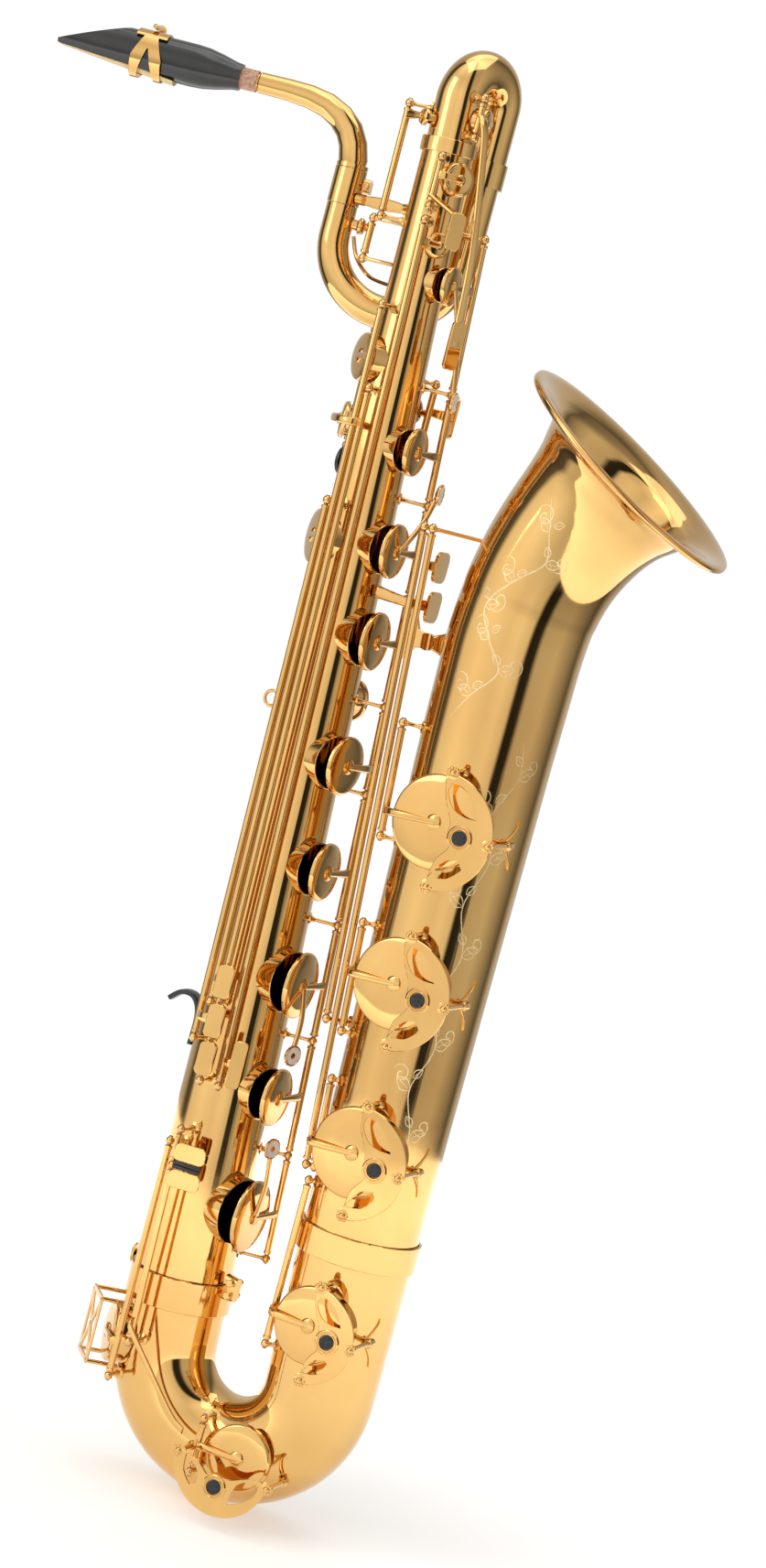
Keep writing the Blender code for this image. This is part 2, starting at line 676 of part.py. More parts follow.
def neck():
    route = [(0, RECEIVER_Z[0] + 3), (0, RECEIVER_Z[1] + 0.5)]
    bend = [(0.5, 37.2), (3.4, 26.2), (8.5, 17), (17, 9.2), (28, 3.8), (42, 0.9), (58, 0)]
    bend.append((CORK_SPAN[0] - 2, 0))
    route += [(reach, NECK_AXIS_Z - drop) for reach, drop in bend]
    route += [(CORK_SPAN[0] - 1, NECK_AXIS_Z), (CORK_SPAN[1] + 1, NECK_AXIS_Z)]
    taper = [0, 0.07, 0.17, 0.3, 0.47, 0.67, 0.87, 1]
    radii = [NECK_TENON_R] * 2 + [NECK_BASE_R + (NECK_END_R - NECK_BASE_R) * share for share in taper]
    radii += [CORK_SEAT_R] * 2
    points = [neck_at(reach, z) for reach, z in route]
    outside, bore = bored(points, radii, 14)
    low = RECEIVER_Z[1] + SEAT
    collar = turned(at_height(RECEIVER, 0), UP, [(NECK_BASE_R + 1, low), (NECK_BASE_R + 1, low + 3)], 24)
    make("neck_tube", merge(merge(outside, [collar]), [bore], "DIFFERENCE"), pivot=SWIVEL)
    axis_point = neck_at(0, NECK_AXIS_Z)
    cork = ring(axis_point, LOOP_WAY, CORK_SEAT_R + SEAT, CORK_R, *CORK_SPAN, 20)
    make("neck_cork", cork, "cork", SWIVEL)


def mouthpiece():
    """Mouthpiece, reed and ligature. Their pivot is the shank's mouth, on the neck's axis."""
    start, tip = MOUTHPIECE_SPAN
    pivot = neck_at(start, NECK_AXIS_Z)
    axis_point = neck_at(0, NECK_AXIS_Z)
    r = MOUTHPIECE_R
    shank = CORK_R + 1.7
    profile = [(0, 0), (0.09, 5), (0.57, 16), (0.9, 26), (1, 35), (1, 60)]
    outline = [(shank + (r - shank) * share, start + reach) for share, reach in profile]
    outline += [(r - 0.2, start + 85), (r - 1.4, start + 107), (r - 3.4, tip)]
    blank = turned(axis_point, LOOP_WAY, outline, 28)
    top = NECK_AXIS_Z + r
    table_z = reed_z(REED_BUTT) + REED_THICK + SEAT
    tip_z = reed_z(tip) + REED_TIP_THICK + SEAT
    stock_end = REED_BUTT + REED_STOCK
    side_view = [(start - 1, top + 9), (start + 84, top), (tip + 1, tip_z + 2.3), (tip + 1, tip_z)]
    side_view += [(stock_end, reed_z(stock_end) + REED_THICK + SEAT), (REED_BUTT, table_z)]
    side_view += [(REED_BUTT, top - 2 * r - 9), (start - 1, top - 2 * r - 9)]
    wedge = plate([neck_at(reach, z) for reach, z in side_view], LOOP_SIDE * 50)
    body = merge(blank, [wedge], "INTERSECT")
    bore_r = CORK_R + SEAT
    bore = turned(axis_point, LOOP_WAY, [(bore_r, start - 1), (bore_r, start + 93)], 20)
    floor = NECK_AXIS_Z - 24
    roof = [(start + 89, NECK_AXIS_Z + 7.4), (tip - 6, tip_z + 3.2), (tip - 6, floor), (start + 89, floor)]
    window = plate([neck_at(reach, z) for reach, z in roof], LOOP_SIDE * 11)
    make("mouthpiece", merge(body, [bore, window], "DIFFERENCE"), "ebonite", pivot)

    half = REED_WIDTH / 2 - 0.5
    rings = []
    for reach in (REED_BUTT + 0.5, stock_end, tip - 30, tip - 12, tip - 0.5):
        low, thick = reed_z(reach), reed_thick(reach)
        section = [(-half, thick), (half, thick), (half, thick * 0.8), (half / 2, thick * 0.2), (0, 0)]
        section += [(-half / 2, thick * 0.2), (-half, thick * 0.8)]
        rings.append([neck_at(reach, low + up, aside) for aside, up in section])
    make("reed", loft(rings), "cane", pivot)

    band_axis = neck_at(0, NECK_AXIS_Z - LIGATURE_DROP)
    make("ligature", ring(band_axis, LOOP_WAY, LIGATURE_R, LIGATURE_R + 1, *LIGATURE_SPAN, 28), pivot=pivot)
    low = NECK_AXIS_Z - LIGATURE_DROP + LIGATURE_R + 1 + SEAT
    middle = neck_at(sum(LIGATURE_SPAN) / 2, low + 2.2)
    shaft = rod(middle - LOOP_SIDE * 9, middle + LOOP_SIDE * 11, 1.9)
    head = turned(middle + LOOP_SIDE * 11, LOOP_SIDE, [(3.4, 0), (3.4, 3)], 10)
    make("ligature_screw", merge(shaft, [head]), pivot=pivot)


# ---------------------------------------------------------------- guards


# A guard's outline over a pad cup of GUARD_CUP_R: right and up of the cup's middle.
GUARD_CUP_R = 33
GUARD_MIDDLE = (2.5, -5)
GUARD_R = 41
GUARD_INNER = [(2.5, -46), (5, -36), (7, -24), (14, -13), (11, -7), (10.4, 4), (3.4, 18), (0, 31)]
GUARD_LEAVES = [[(5, 29.6), (4, 22), (11, 12.4), (20.5, 9.2), (29, 9.4), (23.5, 20), (14, 28.4)]]
GUARD_LEAVES.append([(5, -36.3), (8.7, -30.2), (14.4, -22.6), (23.3, -19.8), (27.3, -25.6), (18.3, -34)])
GUARD_BUTTON = (20.5, -5)
GUARD_FEET = [(4, 36.6), (6, -43)]
GUARD_THICK = 1.6


def guard_frame(centre, scale, turn):
    """A function from a guard's own outline to the plane over its pad cup."""
    across = Vector((cos(radians(turn)), 0, sin(radians(turn))))
    up = Vector((-sin(radians(turn)), 0, cos(radians(turn))))
    return lambda u, v: centre + (across * u + up * v) * scale


def guard(name, place, scale, feet):
    """A crescent guard with two leaf-shaped windows and a felt bushing. feet are (plate, tube)."""
    way = PLAYER_RIGHT
    rim = [(GUARD_MIDDLE[0] + GUARD_R * cos(radians(t)), GUARD_MIDDLE[1] + GUARD_R * sin(radians(t)))
           for t in range(90, -91, -15)]
    outline = [place(u, v) for u, v in rim + GUARD_INNER]
    body = plate(outline, way * GUARD_THICK)
    leaves = [plate([place(u, v) for u, v in leaf], way * 3 * GUARD_THICK) for leaf in GUARD_LEAVES]
    parts = [turned(place(*GUARD_BUTTON), way, [(8.5, -0.6), (8.5, 2)], 14)]
    for top, below in feet:
        parts.append(rod(top, below, 2.2, 6))
    make(name, merge(merge(body, leaves, "DIFFERENCE"), parts))


def boss(tube, base, side, way, aside, tube_r):
    """A flat-topped boss for a guard's foot, on a round tube whose middle is at base. Returns the
    place just clear of its face, which stands square to way."""
    middle = base + side * aside
    crest = sqrt(tube_r ** 2 - max(abs(aside) - BOSS_R, 0) ** 2) + BOSS_RISE
    root = sqrt(tube_r ** 2 - aside ** 2) - BOSS_ROOT
    tube.adds.append(rod(middle + way * crest, middle + way * root, BOSS_R, 8))
    return middle + way * (crest + SEAT)


def bell_guards():
    east = Vector((1, 0, 0))
    for name, z, r in BELL_CUPS:
        tube = BELL if z > BELL_BEND_Z else BOW
        scale = r / GUARD_CUP_R
        centre = bell_axis(z) + PLAYER_RIGHT * (bell_r(z) + CHIMNEY + GUARD_STAND)
        place = guard_frame(centre, scale, 0)
        side_foot = (min(GUARD_R + 0.5, (bell_r(z) - 5) / scale), -5)
        feet = []
        for spot in GUARD_FEET + [side_foot]:
            top = place(*spot)
            base = bell_axis(top.z)
            feet.append((top, boss(tube, base, east, PLAYER_RIGHT, top.x - base.x, bell_r(top.z))))
        guard(name + "_guard", place, scale, feet)


def bow_guards():
    """The guards over the two pad cups on the bow."""
    centre = E_FLAT_SEAT + PLAYER_RIGHT * E_FLAT_GUARD_STAND + Vector((0.8, 0, -2))
    place = guard_frame(centre, E_FLAT_GUARD_SCALE, -95)
    feet = []
    for spot in GUARD_FEET:
        top = place(*spot)
        out = at_height(top, top.z) - BOW_CENTRE
        out.y = 0
        side = out.normalized()
        bearing = degrees(atan2(-side.z, -side.x))
        aside = out.length - BOW_BEND_R
        feet.append((top, boss(BOW, bow_point(bearing), side, PLAYER_RIGHT, aside, bow_r(bearing))))
    guard("e_flat_guard", place, E_FLAT_GUARD_SCALE, feet)

    seat, way = C_SHARP_SEAT, facing(C_SHARP_TURN)
    side = UP.cross(way)
    stand = 18
    far = seat + way * stand
    corners = [far + side * a + UP * b for a, b in ((-17, 25), (15, 25), (15, -21), (-17, -21))]
    frame = bar([corners[0], corners[2]], way, [1.6, 1.6], 4.5)
    edges = [bar([a, b], way, [1.6, 1.6], 4.5) for a, b in zip(corners, corners[1:] + corners[:1])]
    edges.append(bar([corners[1], corners[3]], way, [1.6, 1.6], 4.5))
    for corner in corners:
        aside = (corner - seat).dot(side)
        base = seat - way * (bow_r(0) + CHIMNEY)
        face = boss(BOW, at_height(base, corner.z), side, way, aside, bow_r(0))
        edges.append(rod(corner, face, 1.6, 6))
    make("c_sharp_guard", merge(frame, edges))


# ---------------------------------------------------------------- keys by name

BELL_CUPS = [("low_a", 503, 33), ("low_b_flat", 388.5, 32), ("low_b", 267.5, 32), ("low_c", 142.5, 27.5)]
GUARD_STAND = 17.5
E_FLAT_GUARD_STAND = 19.5
E_FLAT_GUARD_SCALE = 0.88
E_FLAT_TURN = 119.5
E_FLAT_SEAT = bow_point(E_FLAT_TURN) + PLAYER_RIGHT * (bow_r(E_FLAT_TURN) + CHIMNEY)
C_SHARP_TURN = -55
C_SHARP_SEAT = body_axis(84) + facing(C_SHARP_TURN) * (bow_r(0) + CHIMNEY)


def beside_bell(z):
    """A rod's place beside the bell tube, in front of its left side."""
    way = Vector((-cos(radians(BELL_ROD_TURN)), -sin(radians(BELL_ROD_TURN)), 0))
    return bell_axis(z) + way * (bell_r(z) + BELL_ROD_STAND)


def beside_bell_foot(z):
    """The low C key's upright rod line, where the bell tube meets the bow."""
    return at_height(beside_bell(BELL_BEND_Z) + Vector((3.6, 0, 0)), z)


def bell_line(aside):
    """A rod line between body and bell, leaning from the pinky table down to the low keys."""
    foot = beside_bell(237)
    head = Vector((foot.x - 30.6, foot.y, 697))
    lean = (head - foot) / (head.z - foot.z)
    return lambda z: foot + Vector((aside, 0, 0)) + lean * (z - foot.z)


def body_line(turn, stand):
    return lambda z: around(z, turn, stand)


def beside(seat, way, aside, rise=2.5):
    """A level-facing rod line beside a pad cup."""
    place = seat + way * rise + UP.cross(way) * aside
    return lambda z: at_height(place, z)


def hole_under(cup_r):
    return cup_r - WALL - CHIMNEY_LIP


def body_hole(z, turn, cup_r):
    return BODY.chimney(around(z, turn, 0), facing(turn), body_r(z), hole_under(cup_r))


def bell_keys():
    """The low pads on the bell's right side, and the long rods that work them."""
    spans = {"low_a": (483, 556), "low_b_flat": (345, 415), "low_b": (248, 304), "low_c": (118, 231)}
    for name, z, r in BELL_CUPS:
        tube = BELL if z > BELL_BEND_Z else BOW
        crown = bell_axis(z) + PLAYER_RIGHT * bell_r(z)
        seat = tube.chimney(crown, PLAYER_RIGHT, bell_r(z), hole_under(r))
        bell_key = z > BELL_BEND_Z
        line = bell_line(BELL_ROD_PITCH) if bell_key else beside_bell_foot
        home = on_bell_near if bell_key else on_horn
        pad_key(name + "_key", line, spans[name], seat, PLAYER_RIGHT, r, BELL_OPENING, True, home)

    side = Vector((0, 1, 0))
    plans = [("low_b_lever", 0, 248, 668), ("low_b_flat_lever", -BELL_ROD_PITCH, 350, 640)]
    for name, aside, low, plate_z in plans:
        line = bell_line(aside)
        root = line(plate_z)
        table = root + Vector((3 - aside, 22, 0))
        finger = touch(table, -side.cross(UP), UP, 24, 22)
        stalk = bar([root, root + side * 8 + Vector((2, 0, 0)), table], UP, [6, 7, 8], 2.4)
        key(name, line(low), line(690), [finger, stalk], BELL_OPENING + 0.5, False, on_bell)


def bow_keys():
    """E flat and C sharp on the bow, and the little-finger levers beside them."""
    seat = BOW.chimney(E_FLAT_SEAT - PLAYER_RIGHT * CHIMNEY, PLAYER_RIGHT, bow_r(E_FLAT_TURN), hole_under(24))
    line = beside(seat, PLAYER_RIGHT, -31, 4)
    pad_key("e_flat_key", line, (18, 50), seat, PLAYER_RIGHT, 24, 12, False, on_horn)

    way = facing(C_SHARP_TURN)
    seat = BOW.chimney(C_SHARP_SEAT - way * CHIMNEY, way, bow_r(0), hole_under(22))
    pad_key("c_sharp_key", beside(seat, way, 27), (62, 229), seat, way, 22, 14, False, on_horn)

    line = body_line(-8, 18)
    low, high = line(92), line(level(214))
    finger_at = around(high.z - 3, 7, 26)
    finger = touch(finger_at, facing(7), UP, 23, 12.5)
    stalk = bar([line(finger_at.z), around(finger_at.z, -2, 25), finger_at], UP, [6, 7, 8], 2.4)
    front = -bow_r(90) - 18.3
    route = [line(104), around(100, -5, 25.5), BOW_CENTRE + Vector((-44, front - 2, -13))]
    route += [BOW_CENTRE + Vector((-22, front, -37)), BOW_CENTRE + Vector((-11, front, -44))]
    swing = bar(route, UP, [7, 6, 6, 5, 5], 2.6)
    key("e_flat_lever", low, high, [finger, stalk, swing], 8, False, on_horn)

    low = high + (high - low).normalized() * 2 * POST_GAP
    high = line(low.z + 19.2)
    finger_at = around(low.z + 9.2, 7, 26)
    finger = touch(finger_at, facing(7), UP, 23, 12.5)
    stalk = bar([line(finger_at.z), around(finger_at.z, -2, 25), finger_at], UP, [6, 7, 8], 2.4)
    key("low_c_lever", low, high, [finger, stalk], 8, False, on_horn, posts=(False, True))


def stack_keys():
    """The two stacks of open-standing keys on the side towards the bell."""
    line = body_line(STACK_HINGE, STACK_STAND)
    posts = [level(z) for z in (160, 236, 320, 404, 499, 562, 640, 706, 785, 895)]
    cups = [("d_key", 192.5, 26, 73), ("e_key", 278.5, 21, 73), ("f_key", 359.5, 24, 73)]
    cups += [("f_sharp_key", 441, 21, 73), ("g_key", 517, 21, 66), ("a_key", 606, 21, 73)]
    cups += [("b_key", 670, 19.5, 73), ("c_key", 740, 17, 73), ("high_vent_key", 857, 14, 73)]
    pearls = {"d_key": (246, 57, 20), "f_key": (313, 57, 20), "b_key": (716, 84, 28)}
    pearls["high_vent_key"] = (780, 82, 24)
    for (name, z, r, turn), low, high in zip(cups, posts, posts[1:]):
        seat, way = body_hole(level(z), turn, r), facing(turn)
        shapes = []
        if name in pearls:
            height, bearing, stand = pearls[name]
            place = around(level(height), bearing, stand)
            top = seat + way * (CUP_HEIGHT + 1)
            arm = [top, (top + place) / 2 + way * 2, place - facing(bearing) * 1.5]
            shapes = [bar(arm, way.cross(UP), [6, 5, 5], 2.6), pearl_seat(place, facing(bearing))]
        last = name == cups[-1][0]
        pad_key(name, line, (low + POST_GAP, high - POST_GAP), seat, way, r, 13, True, on_horn, shapes,
                posts=(True, last))


def side_keys():
    """Side trill keys and the high F sharp, on long rods down the player's right."""
    middle = -10
    pitch = degrees((ROD_R + BALL_R + SEAT / 2) / (body_r(level(690)) + SIDE_STAND))
    plans = [("side_high_e_key", 795.5, -46, 17, middle, 830, 28)]
    plans.append(("side_c_key", 667, -51, 19.5, middle - pitch, 690, 0))
    plans.append(("side_b_flat_key", 750, -68, 13, middle + pitch, 772, -27))
    for name, hole_z, turn, r, hinge_turn, top, rise in plans:
        line = body_line(hinge_turn, SIDE_STAND)
        z, finger_z = level(hole_z), level(325) + rise
        seat = body_hole(z, turn, r)
        finger_at = around(finger_z, 2, SIDE_STAND + 8.5)
        finger = touch(finger_at, facing(2), UP, 12.5, 24, 4)
        elbow = around(finger_z, hinge_turn / 2, SIDE_STAND + 7)
        stalk = bar([line(finger_z), elbow, finger_at], UP, [6, 7, 8], 2.8)
        via = []
        if turn < -60:
            via = [around(z, t, SIDE_STAND + lift) for t, lift in ((-8, 7), (-20, 7), (-36, 2))]
        span = (finger_z - 14, level(top))
        pad_key(name, line, span, seat, facing(turn), r, 14, False, on_horn, [finger, stalk], via)

    line = body_line(14, SIDE_STAND)
    seat = body_hole(level(882), 40, 9)
    finger_z = level(325) - 26
    finger_at = around(finger_z, 24, SIDE_STAND + 7)
    finger = touch(finger_at, facing(24), UP, 10, 34, 3)
    stalk = bar([line(finger_z), around(finger_z, 18, SIDE_STAND + 5.5), finger_at], UP, [6, 6, 7], 2.8)
    span = (finger_z - 15, level(893))
    pad_key("high_f_sharp_key", line, span, seat, facing(40), 9, 14, False, on_horn, [finger, stalk])


def palm_keys():
    """Three keys that the left palm opens, near the top of the body."""
    way = facing(50)
    seat = body_hole(BODY_TOP_Z - 18, 50, 12)
    line = beside(seat, way, -17)
    finger_at = around(seat.z - 36, 42, 30)
    finger = touch(finger_at, way, UP, 12, 26)
    stalk = bar([line(seat.z - 15), finger_at + UP * 10], UP.cross(way), [6, 8], 2.6)
    span = (seat.z - 19, seat.z + 9)
    pad_key("palm_d_key", line, span, seat, way, 12, 14, False, on_horn, [finger, stalk])

    way = facing(170)
    seat = body_hole(level(768), 170, 12)
    line = beside(seat, way, -17)
    finger_at = around(seat.z + 2, 128, 26)
    finger = touch(finger_at, facing(135), UP, 12, 30)
    stalk = bar([line(finger_at.z), around(finger_at.z, 138, 22), finger_at], UP, [6, 7, 8], 2.6)
    span = (seat.z - 18, seat.z + 18)
    pad_key("palm_e_flat_key", line, span, seat, way, 12, 14, False, on_horn, [finger, stalk])

    way = facing(90)
    crown = body_axis(level(972)) + way * TOP_BOW_R
    seat = TOP_BOW.chimney(crown, way, TOP_BOW_R, hole_under(10))
    line = beside(seat, way, -14.5)
    finger_at = around(level(818), 62, 33)
    finger = touch(finger_at, facing(62), UP, 12, 34)
    bends = [(968, 58, 17), (950, 60, 21), (880, 62, 31)]
    route = [line(seat.z + 4)] + [around(level(z), turn, stand) for z, turn, stand in bends] + [finger_at]
    lever = bar(route, UP.cross(facing(60)), [6, 6, 6, 6, 7], 2.8)
    span = (seat.z - 9, seat.z + 12)
    pad_key("palm_f_key", line, span, seat, way, 10, 12, False, on_horn, [finger, lever])


def octave_keys():
    """The thumb's octave lever and the two vents that it opens."""
    pip_r, cup_r = 2.6, 6
    line = body_line(-77, 16.8)
    way = facing(-48)
    seat = TOP_BOW.chimney(body_axis(level(966)) + way * TOP_BOW_R, way, TOP_BOW_R, pip_r)
    pad_key("octave_upper_key", line, (seat.z - 69, seat.z + 4), seat, way, cup_r, 12, False, on_horn)

    way = -LOOP_WAY
    crown = at_height(RECEIVER, RECEIVER_Z[0] - 12) + way * LOOP_END_R
    seat = LOOP.chimney(crown, way, LOOP_END_R, pip_r)
    line = beside(seat, way, -17, 12)
    pad_key("octave_lower_key", line, (seat.z - 18, seat.z + 4), seat, way, cup_r, 10, False, on_horn)

    line = body_line(-118, 12)
    finger_at = around(THUMB_REST_Z + 20, -140, 17)
    finger = touch(finger_at, facing(-140), UP, 15, 24)
    stalk = bar([line(finger_at.z), around(finger_at.z, -128, 16), finger_at], UP, [8, 9, 9], 2.6)
    low, high = line(finger_at.z - 6), line(finger_at.z + 70)
    key("octave_lever", low, high, [finger, stalk], 10, False, on_horn)


def far_keys():
    """G sharp and the low A thumb lever on the player's left."""
    way = facing(152)
    seat = body_hole(level(560), 152, 15)
    line = beside(seat, way, 20)
    finger_at = seat + way * 16 + UP.cross(way) * 34 + UP * 14
    finger = touch(finger_at, way, UP, 16, 24)
    stalk = bar([line(finger_at.z), finger_at], UP, [6, 8], 2.6)
    span = (seat.z - 15, seat.z + 26)
    pad_key("g_sharp_key", line, span, seat, way, 15, 13, False, on_horn, [finger, stalk])

    line = body_line(-152, 14)
    finger_at = around(level(672), -134, 21)
    finger = touch(finger_at, facing(-134), UP, 14, 24)
    elbow = around(finger_at.z - 2, -143, 18)
    stalk = bar([line(finger_at.z - 4), elbow, finger_at], UP, [6, 7, 8], 2.6)
    key("low_a_lever", line(level(480)), line(finger_at.z + 4), [finger, stalk], 8, False, on_horn)


bell_keys()
bow_keys()
stack_keys()
side_keys()
palm_keys()
octave_keys()
far_keys()
bell_guards()
bow_guards()
for tube in (BODY, BOW, BELL, TOP_BOW, LOOP):
    tube.build()
fixed_rings()
fixed_hardware()
neck()
mouthpiece()
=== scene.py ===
"""The baritone saxophone's looks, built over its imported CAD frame.

Sizes are millimetres in the horn's own space: X runs towards the bell, Z up along the body,
and the player's right side is -Y. The horn hangs from its strap ring, the frame's origin.
"""
import json
from math import atan2, cos, degrees, pi, radians, sin, sqrt, tau

import bmesh
import bpy
from mathutils import Matrix, Vector

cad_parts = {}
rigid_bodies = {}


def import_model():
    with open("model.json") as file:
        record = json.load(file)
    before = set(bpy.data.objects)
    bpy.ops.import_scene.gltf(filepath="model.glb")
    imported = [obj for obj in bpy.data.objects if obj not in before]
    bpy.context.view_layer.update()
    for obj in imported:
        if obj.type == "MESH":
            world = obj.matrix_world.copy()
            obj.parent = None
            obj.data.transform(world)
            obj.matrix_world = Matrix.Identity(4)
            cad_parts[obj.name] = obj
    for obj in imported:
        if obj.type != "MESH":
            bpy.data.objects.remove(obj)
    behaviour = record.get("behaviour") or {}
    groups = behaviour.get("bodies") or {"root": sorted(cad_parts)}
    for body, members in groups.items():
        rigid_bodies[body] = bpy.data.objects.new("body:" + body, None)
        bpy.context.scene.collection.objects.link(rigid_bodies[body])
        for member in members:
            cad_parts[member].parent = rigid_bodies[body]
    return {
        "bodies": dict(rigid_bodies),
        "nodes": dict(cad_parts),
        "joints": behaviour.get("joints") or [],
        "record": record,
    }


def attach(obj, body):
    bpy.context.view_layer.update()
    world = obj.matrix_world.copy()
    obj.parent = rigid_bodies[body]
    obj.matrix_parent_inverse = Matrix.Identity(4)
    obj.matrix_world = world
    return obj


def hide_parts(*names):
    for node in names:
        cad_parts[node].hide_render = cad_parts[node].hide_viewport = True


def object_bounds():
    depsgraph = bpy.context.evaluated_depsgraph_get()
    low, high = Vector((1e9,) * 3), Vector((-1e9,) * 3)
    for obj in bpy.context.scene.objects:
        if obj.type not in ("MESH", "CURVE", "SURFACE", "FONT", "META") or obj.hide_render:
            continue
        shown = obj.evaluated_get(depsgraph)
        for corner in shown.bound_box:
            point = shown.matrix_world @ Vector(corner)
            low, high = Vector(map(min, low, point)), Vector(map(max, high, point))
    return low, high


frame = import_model()
first_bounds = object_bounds()

FINE = 4                # sides of every round shape, as a multiple of the plan's
MM = 0.001

# ---------------------------------------------------------------- driving dimensions
SEAT = 0.3              # clearance between pieces that touch or run on each other
WALL = 1.2              # wall of every brass tube

BODY_FOOT = Vector((-101.4, 0, 129))
BODY_HEIGHT = 818
PLAN_HEIGHT = 818       # the body height that every height of a key below is stated for
BODY_LEAN = -23.2       # how far the body's top stands back from its foot
BODY_FOOT_R = 35.0
BODY_TOP_R = 17.7

BOW_FOOT_Z = 87         # where the bow's bend begins
BOW_R_BELL = 39.4
BELL_BEND_Z = 200       # the bell tube starts here, above the bow's bell ferrule
BELL_X_FOOT = 20.4
BELL_X_THROAT = 15.9
BELL_THROAT_Z = 621
BELL_THROAT_R = 48.0
BELL_CURVE_Z = 560
BELL_RIM_R = 93.4
BELL_RIM_CENTRE = Vector((66.1, 0, 767.8))
BELL_RIM_TILT = 32.9    # degrees that the rim's plane leans forward
BELL_SIDES = 28

BODY_TOP_Z = BODY_FOOT.z + BODY_HEIGHT
TOP_BOW_Z = BODY_TOP_Z + 38     # where the top bow's bend begins
TOP_BOW_SPAN = 45.4
TOP_BOW_HEADING = 71.1  # degrees from +X towards +Y
TOP_BOW_END_R = 13.6
LOOP_SPAN = 92
LOOP_HEADING = 193.2
LOOP_BEND_Z = BODY_TOP_Z - 72
LOOP_TOP_Z = BODY_TOP_Z - 9
LOOP_R = 13.0
SOCKET_R = TOP_BOW_END_R + 2 * SEAT
SOCKET_TOP_Z = BODY_TOP_Z + 3
RECEIVER_Z = (BODY_TOP_Z - 51, BODY_TOP_Z - 25.3)
RECEIVER_WALL = 2.2

NECK_TENON_R = 9.0
NECK_BASE_R = NECK_TENON_R + 1.4
NECK_END_R = 7.4
NECK_AXIS_Z = BODY_TOP_Z + 17.2
CORK_SEAT_R = NECK_END_R - 0.8
CORK_R = CORK_SEAT_R + 1.1
CORK_SPAN = (81, 117)
MOUTHPIECE_R = 15.2
MOUTHPIECE_SPAN = (93.2, 227)
REED_BUTT = 139
REED_THICK = 3.0
REED_TIP_THICK = 0.4
REED_WIDTH = 18.0
REED_TIP_Z = NECK_AXIS_Z - 8.6
REED_BUTT_Z = NECK_AXIS_Z - MOUTHPIECE_R - 2.6
LIGATURE_R = MOUTHPIECE_R + 1.4
LIGATURE_DROP = 0.8
LIGATURE_SPAN = (149, 172)

CHIMNEY = 3.6           # height of a tone hole's chimney above the tube's crown
CHIMNEY_LIP = 1.6       # how far a pad cup reaches past the hole
CUP_HEIGHT = 4.6
ROD_R = 2.5             # hinge tubes
BALL_R = ROD_R + 0.6    # heads of the posts
POST_GAP = BALL_R + SEAT
POST_AIM = 40           # how far behind the bell's middle its long posts aim
BOSS_R = 3.0            # bosses under the guards' feet
BOSS_RISE = 0.8
BOSS_ROOT = 1.0         # how far a boss sinks into its tube's wall
FOOT_DEPTH = 8          # how far inside its tube the point lies that a post is aimed at
STACK_HINGE = 110       # degrees round the body from the player's right towards the bell
STACK_STAND = 20.5      # height of the stack's hinge rods above the body
SIDE_STAND = 18
BELL_ROD_STAND = 9.2    # height of the low keys' rods above the bell tube
BELL_ROD_TURN = 36      # degrees that they lie in front of its left side
BELL_ROD_PITCH = ROD_R + BALL_R + 0.8   # between neighbouring rods
BELL_OPENING = 6.5

STRAP_Z = 546.9
RING_R = 5.4
RING_WIRE = 1.3

# ---------------------------------------------------------------- the body's own measure


def level(z):
    """Where a height stated for the plan's body falls on this one."""
    share = min(max((z - BODY_FOOT.z) / PLAN_HEIGHT, 0), 1)
    return z + share * (BODY_HEIGHT - PLAN_HEIGHT)


def body_axis(z):
    """The point on the body tube's axis at height z."""
    return BODY_FOOT + Vector((BODY_LEAN / BODY_HEIGHT * (z - BODY_FOOT.z), 0, z - BODY_FOOT.z))


def body_r(z):
    return BODY_FOOT_R + (BODY_TOP_R - BODY_FOOT_R) * (z - BODY_FOOT.z) / BODY_HEIGHT


def facing(turn):
    """The level direction at that many degrees from the player's right towards the bell."""
    return Vector((sin(radians(turn)), -cos(radians(turn)), 0))


def around(z, turn, stand):
    """A point beside the body: its height, its bearing, and how far it stands off the tube."""
    return body_axis(z) + facing(turn) * (body_r(z) + stand)


def bell_axis(z):
    share = (z - BOW_FOOT_Z) / (BELL_THROAT_Z - BOW_FOOT_Z)
    return Vector((BELL_X_FOOT + (BELL_X_THROAT - BELL_X_FOOT) * share, 0, z))


def bell_r(z):
    share = (z - BOW_FOOT_Z) / (BELL_THROAT_Z - BOW_FOOT_Z)
    return BOW_R_BELL + (BELL_THROAT_R - BOW_R_BELL) * share


BOW_CENTRE = Vector(((body_axis(BOW_FOOT_Z).x + BELL_X_FOOT) / 2, 0, BOW_FOOT_Z))
BOW_BEND_R = (BELL_X_FOOT - body_axis(BOW_FOOT_Z).x) / 2


def bow_point(turn):
    """The bow's centreline, by degrees round the bend from the body's side to the bell's."""
    return BOW_CENTRE + BOW_BEND_R * Vector((-cos(radians(turn)), 0, -sin(radians(turn))))


def bow_r(turn):
    return BODY_FOOT_R + 0.9 + (BOW_R_BELL - BODY_FOOT_R - 0.9) * turn / 180


# ---------------------------------------------------------------- finishes


def node(tree, kind, **values):
    made = tree.nodes.new(kind)
    for word, value in values.items():
        setattr(made, word, value)
    return made


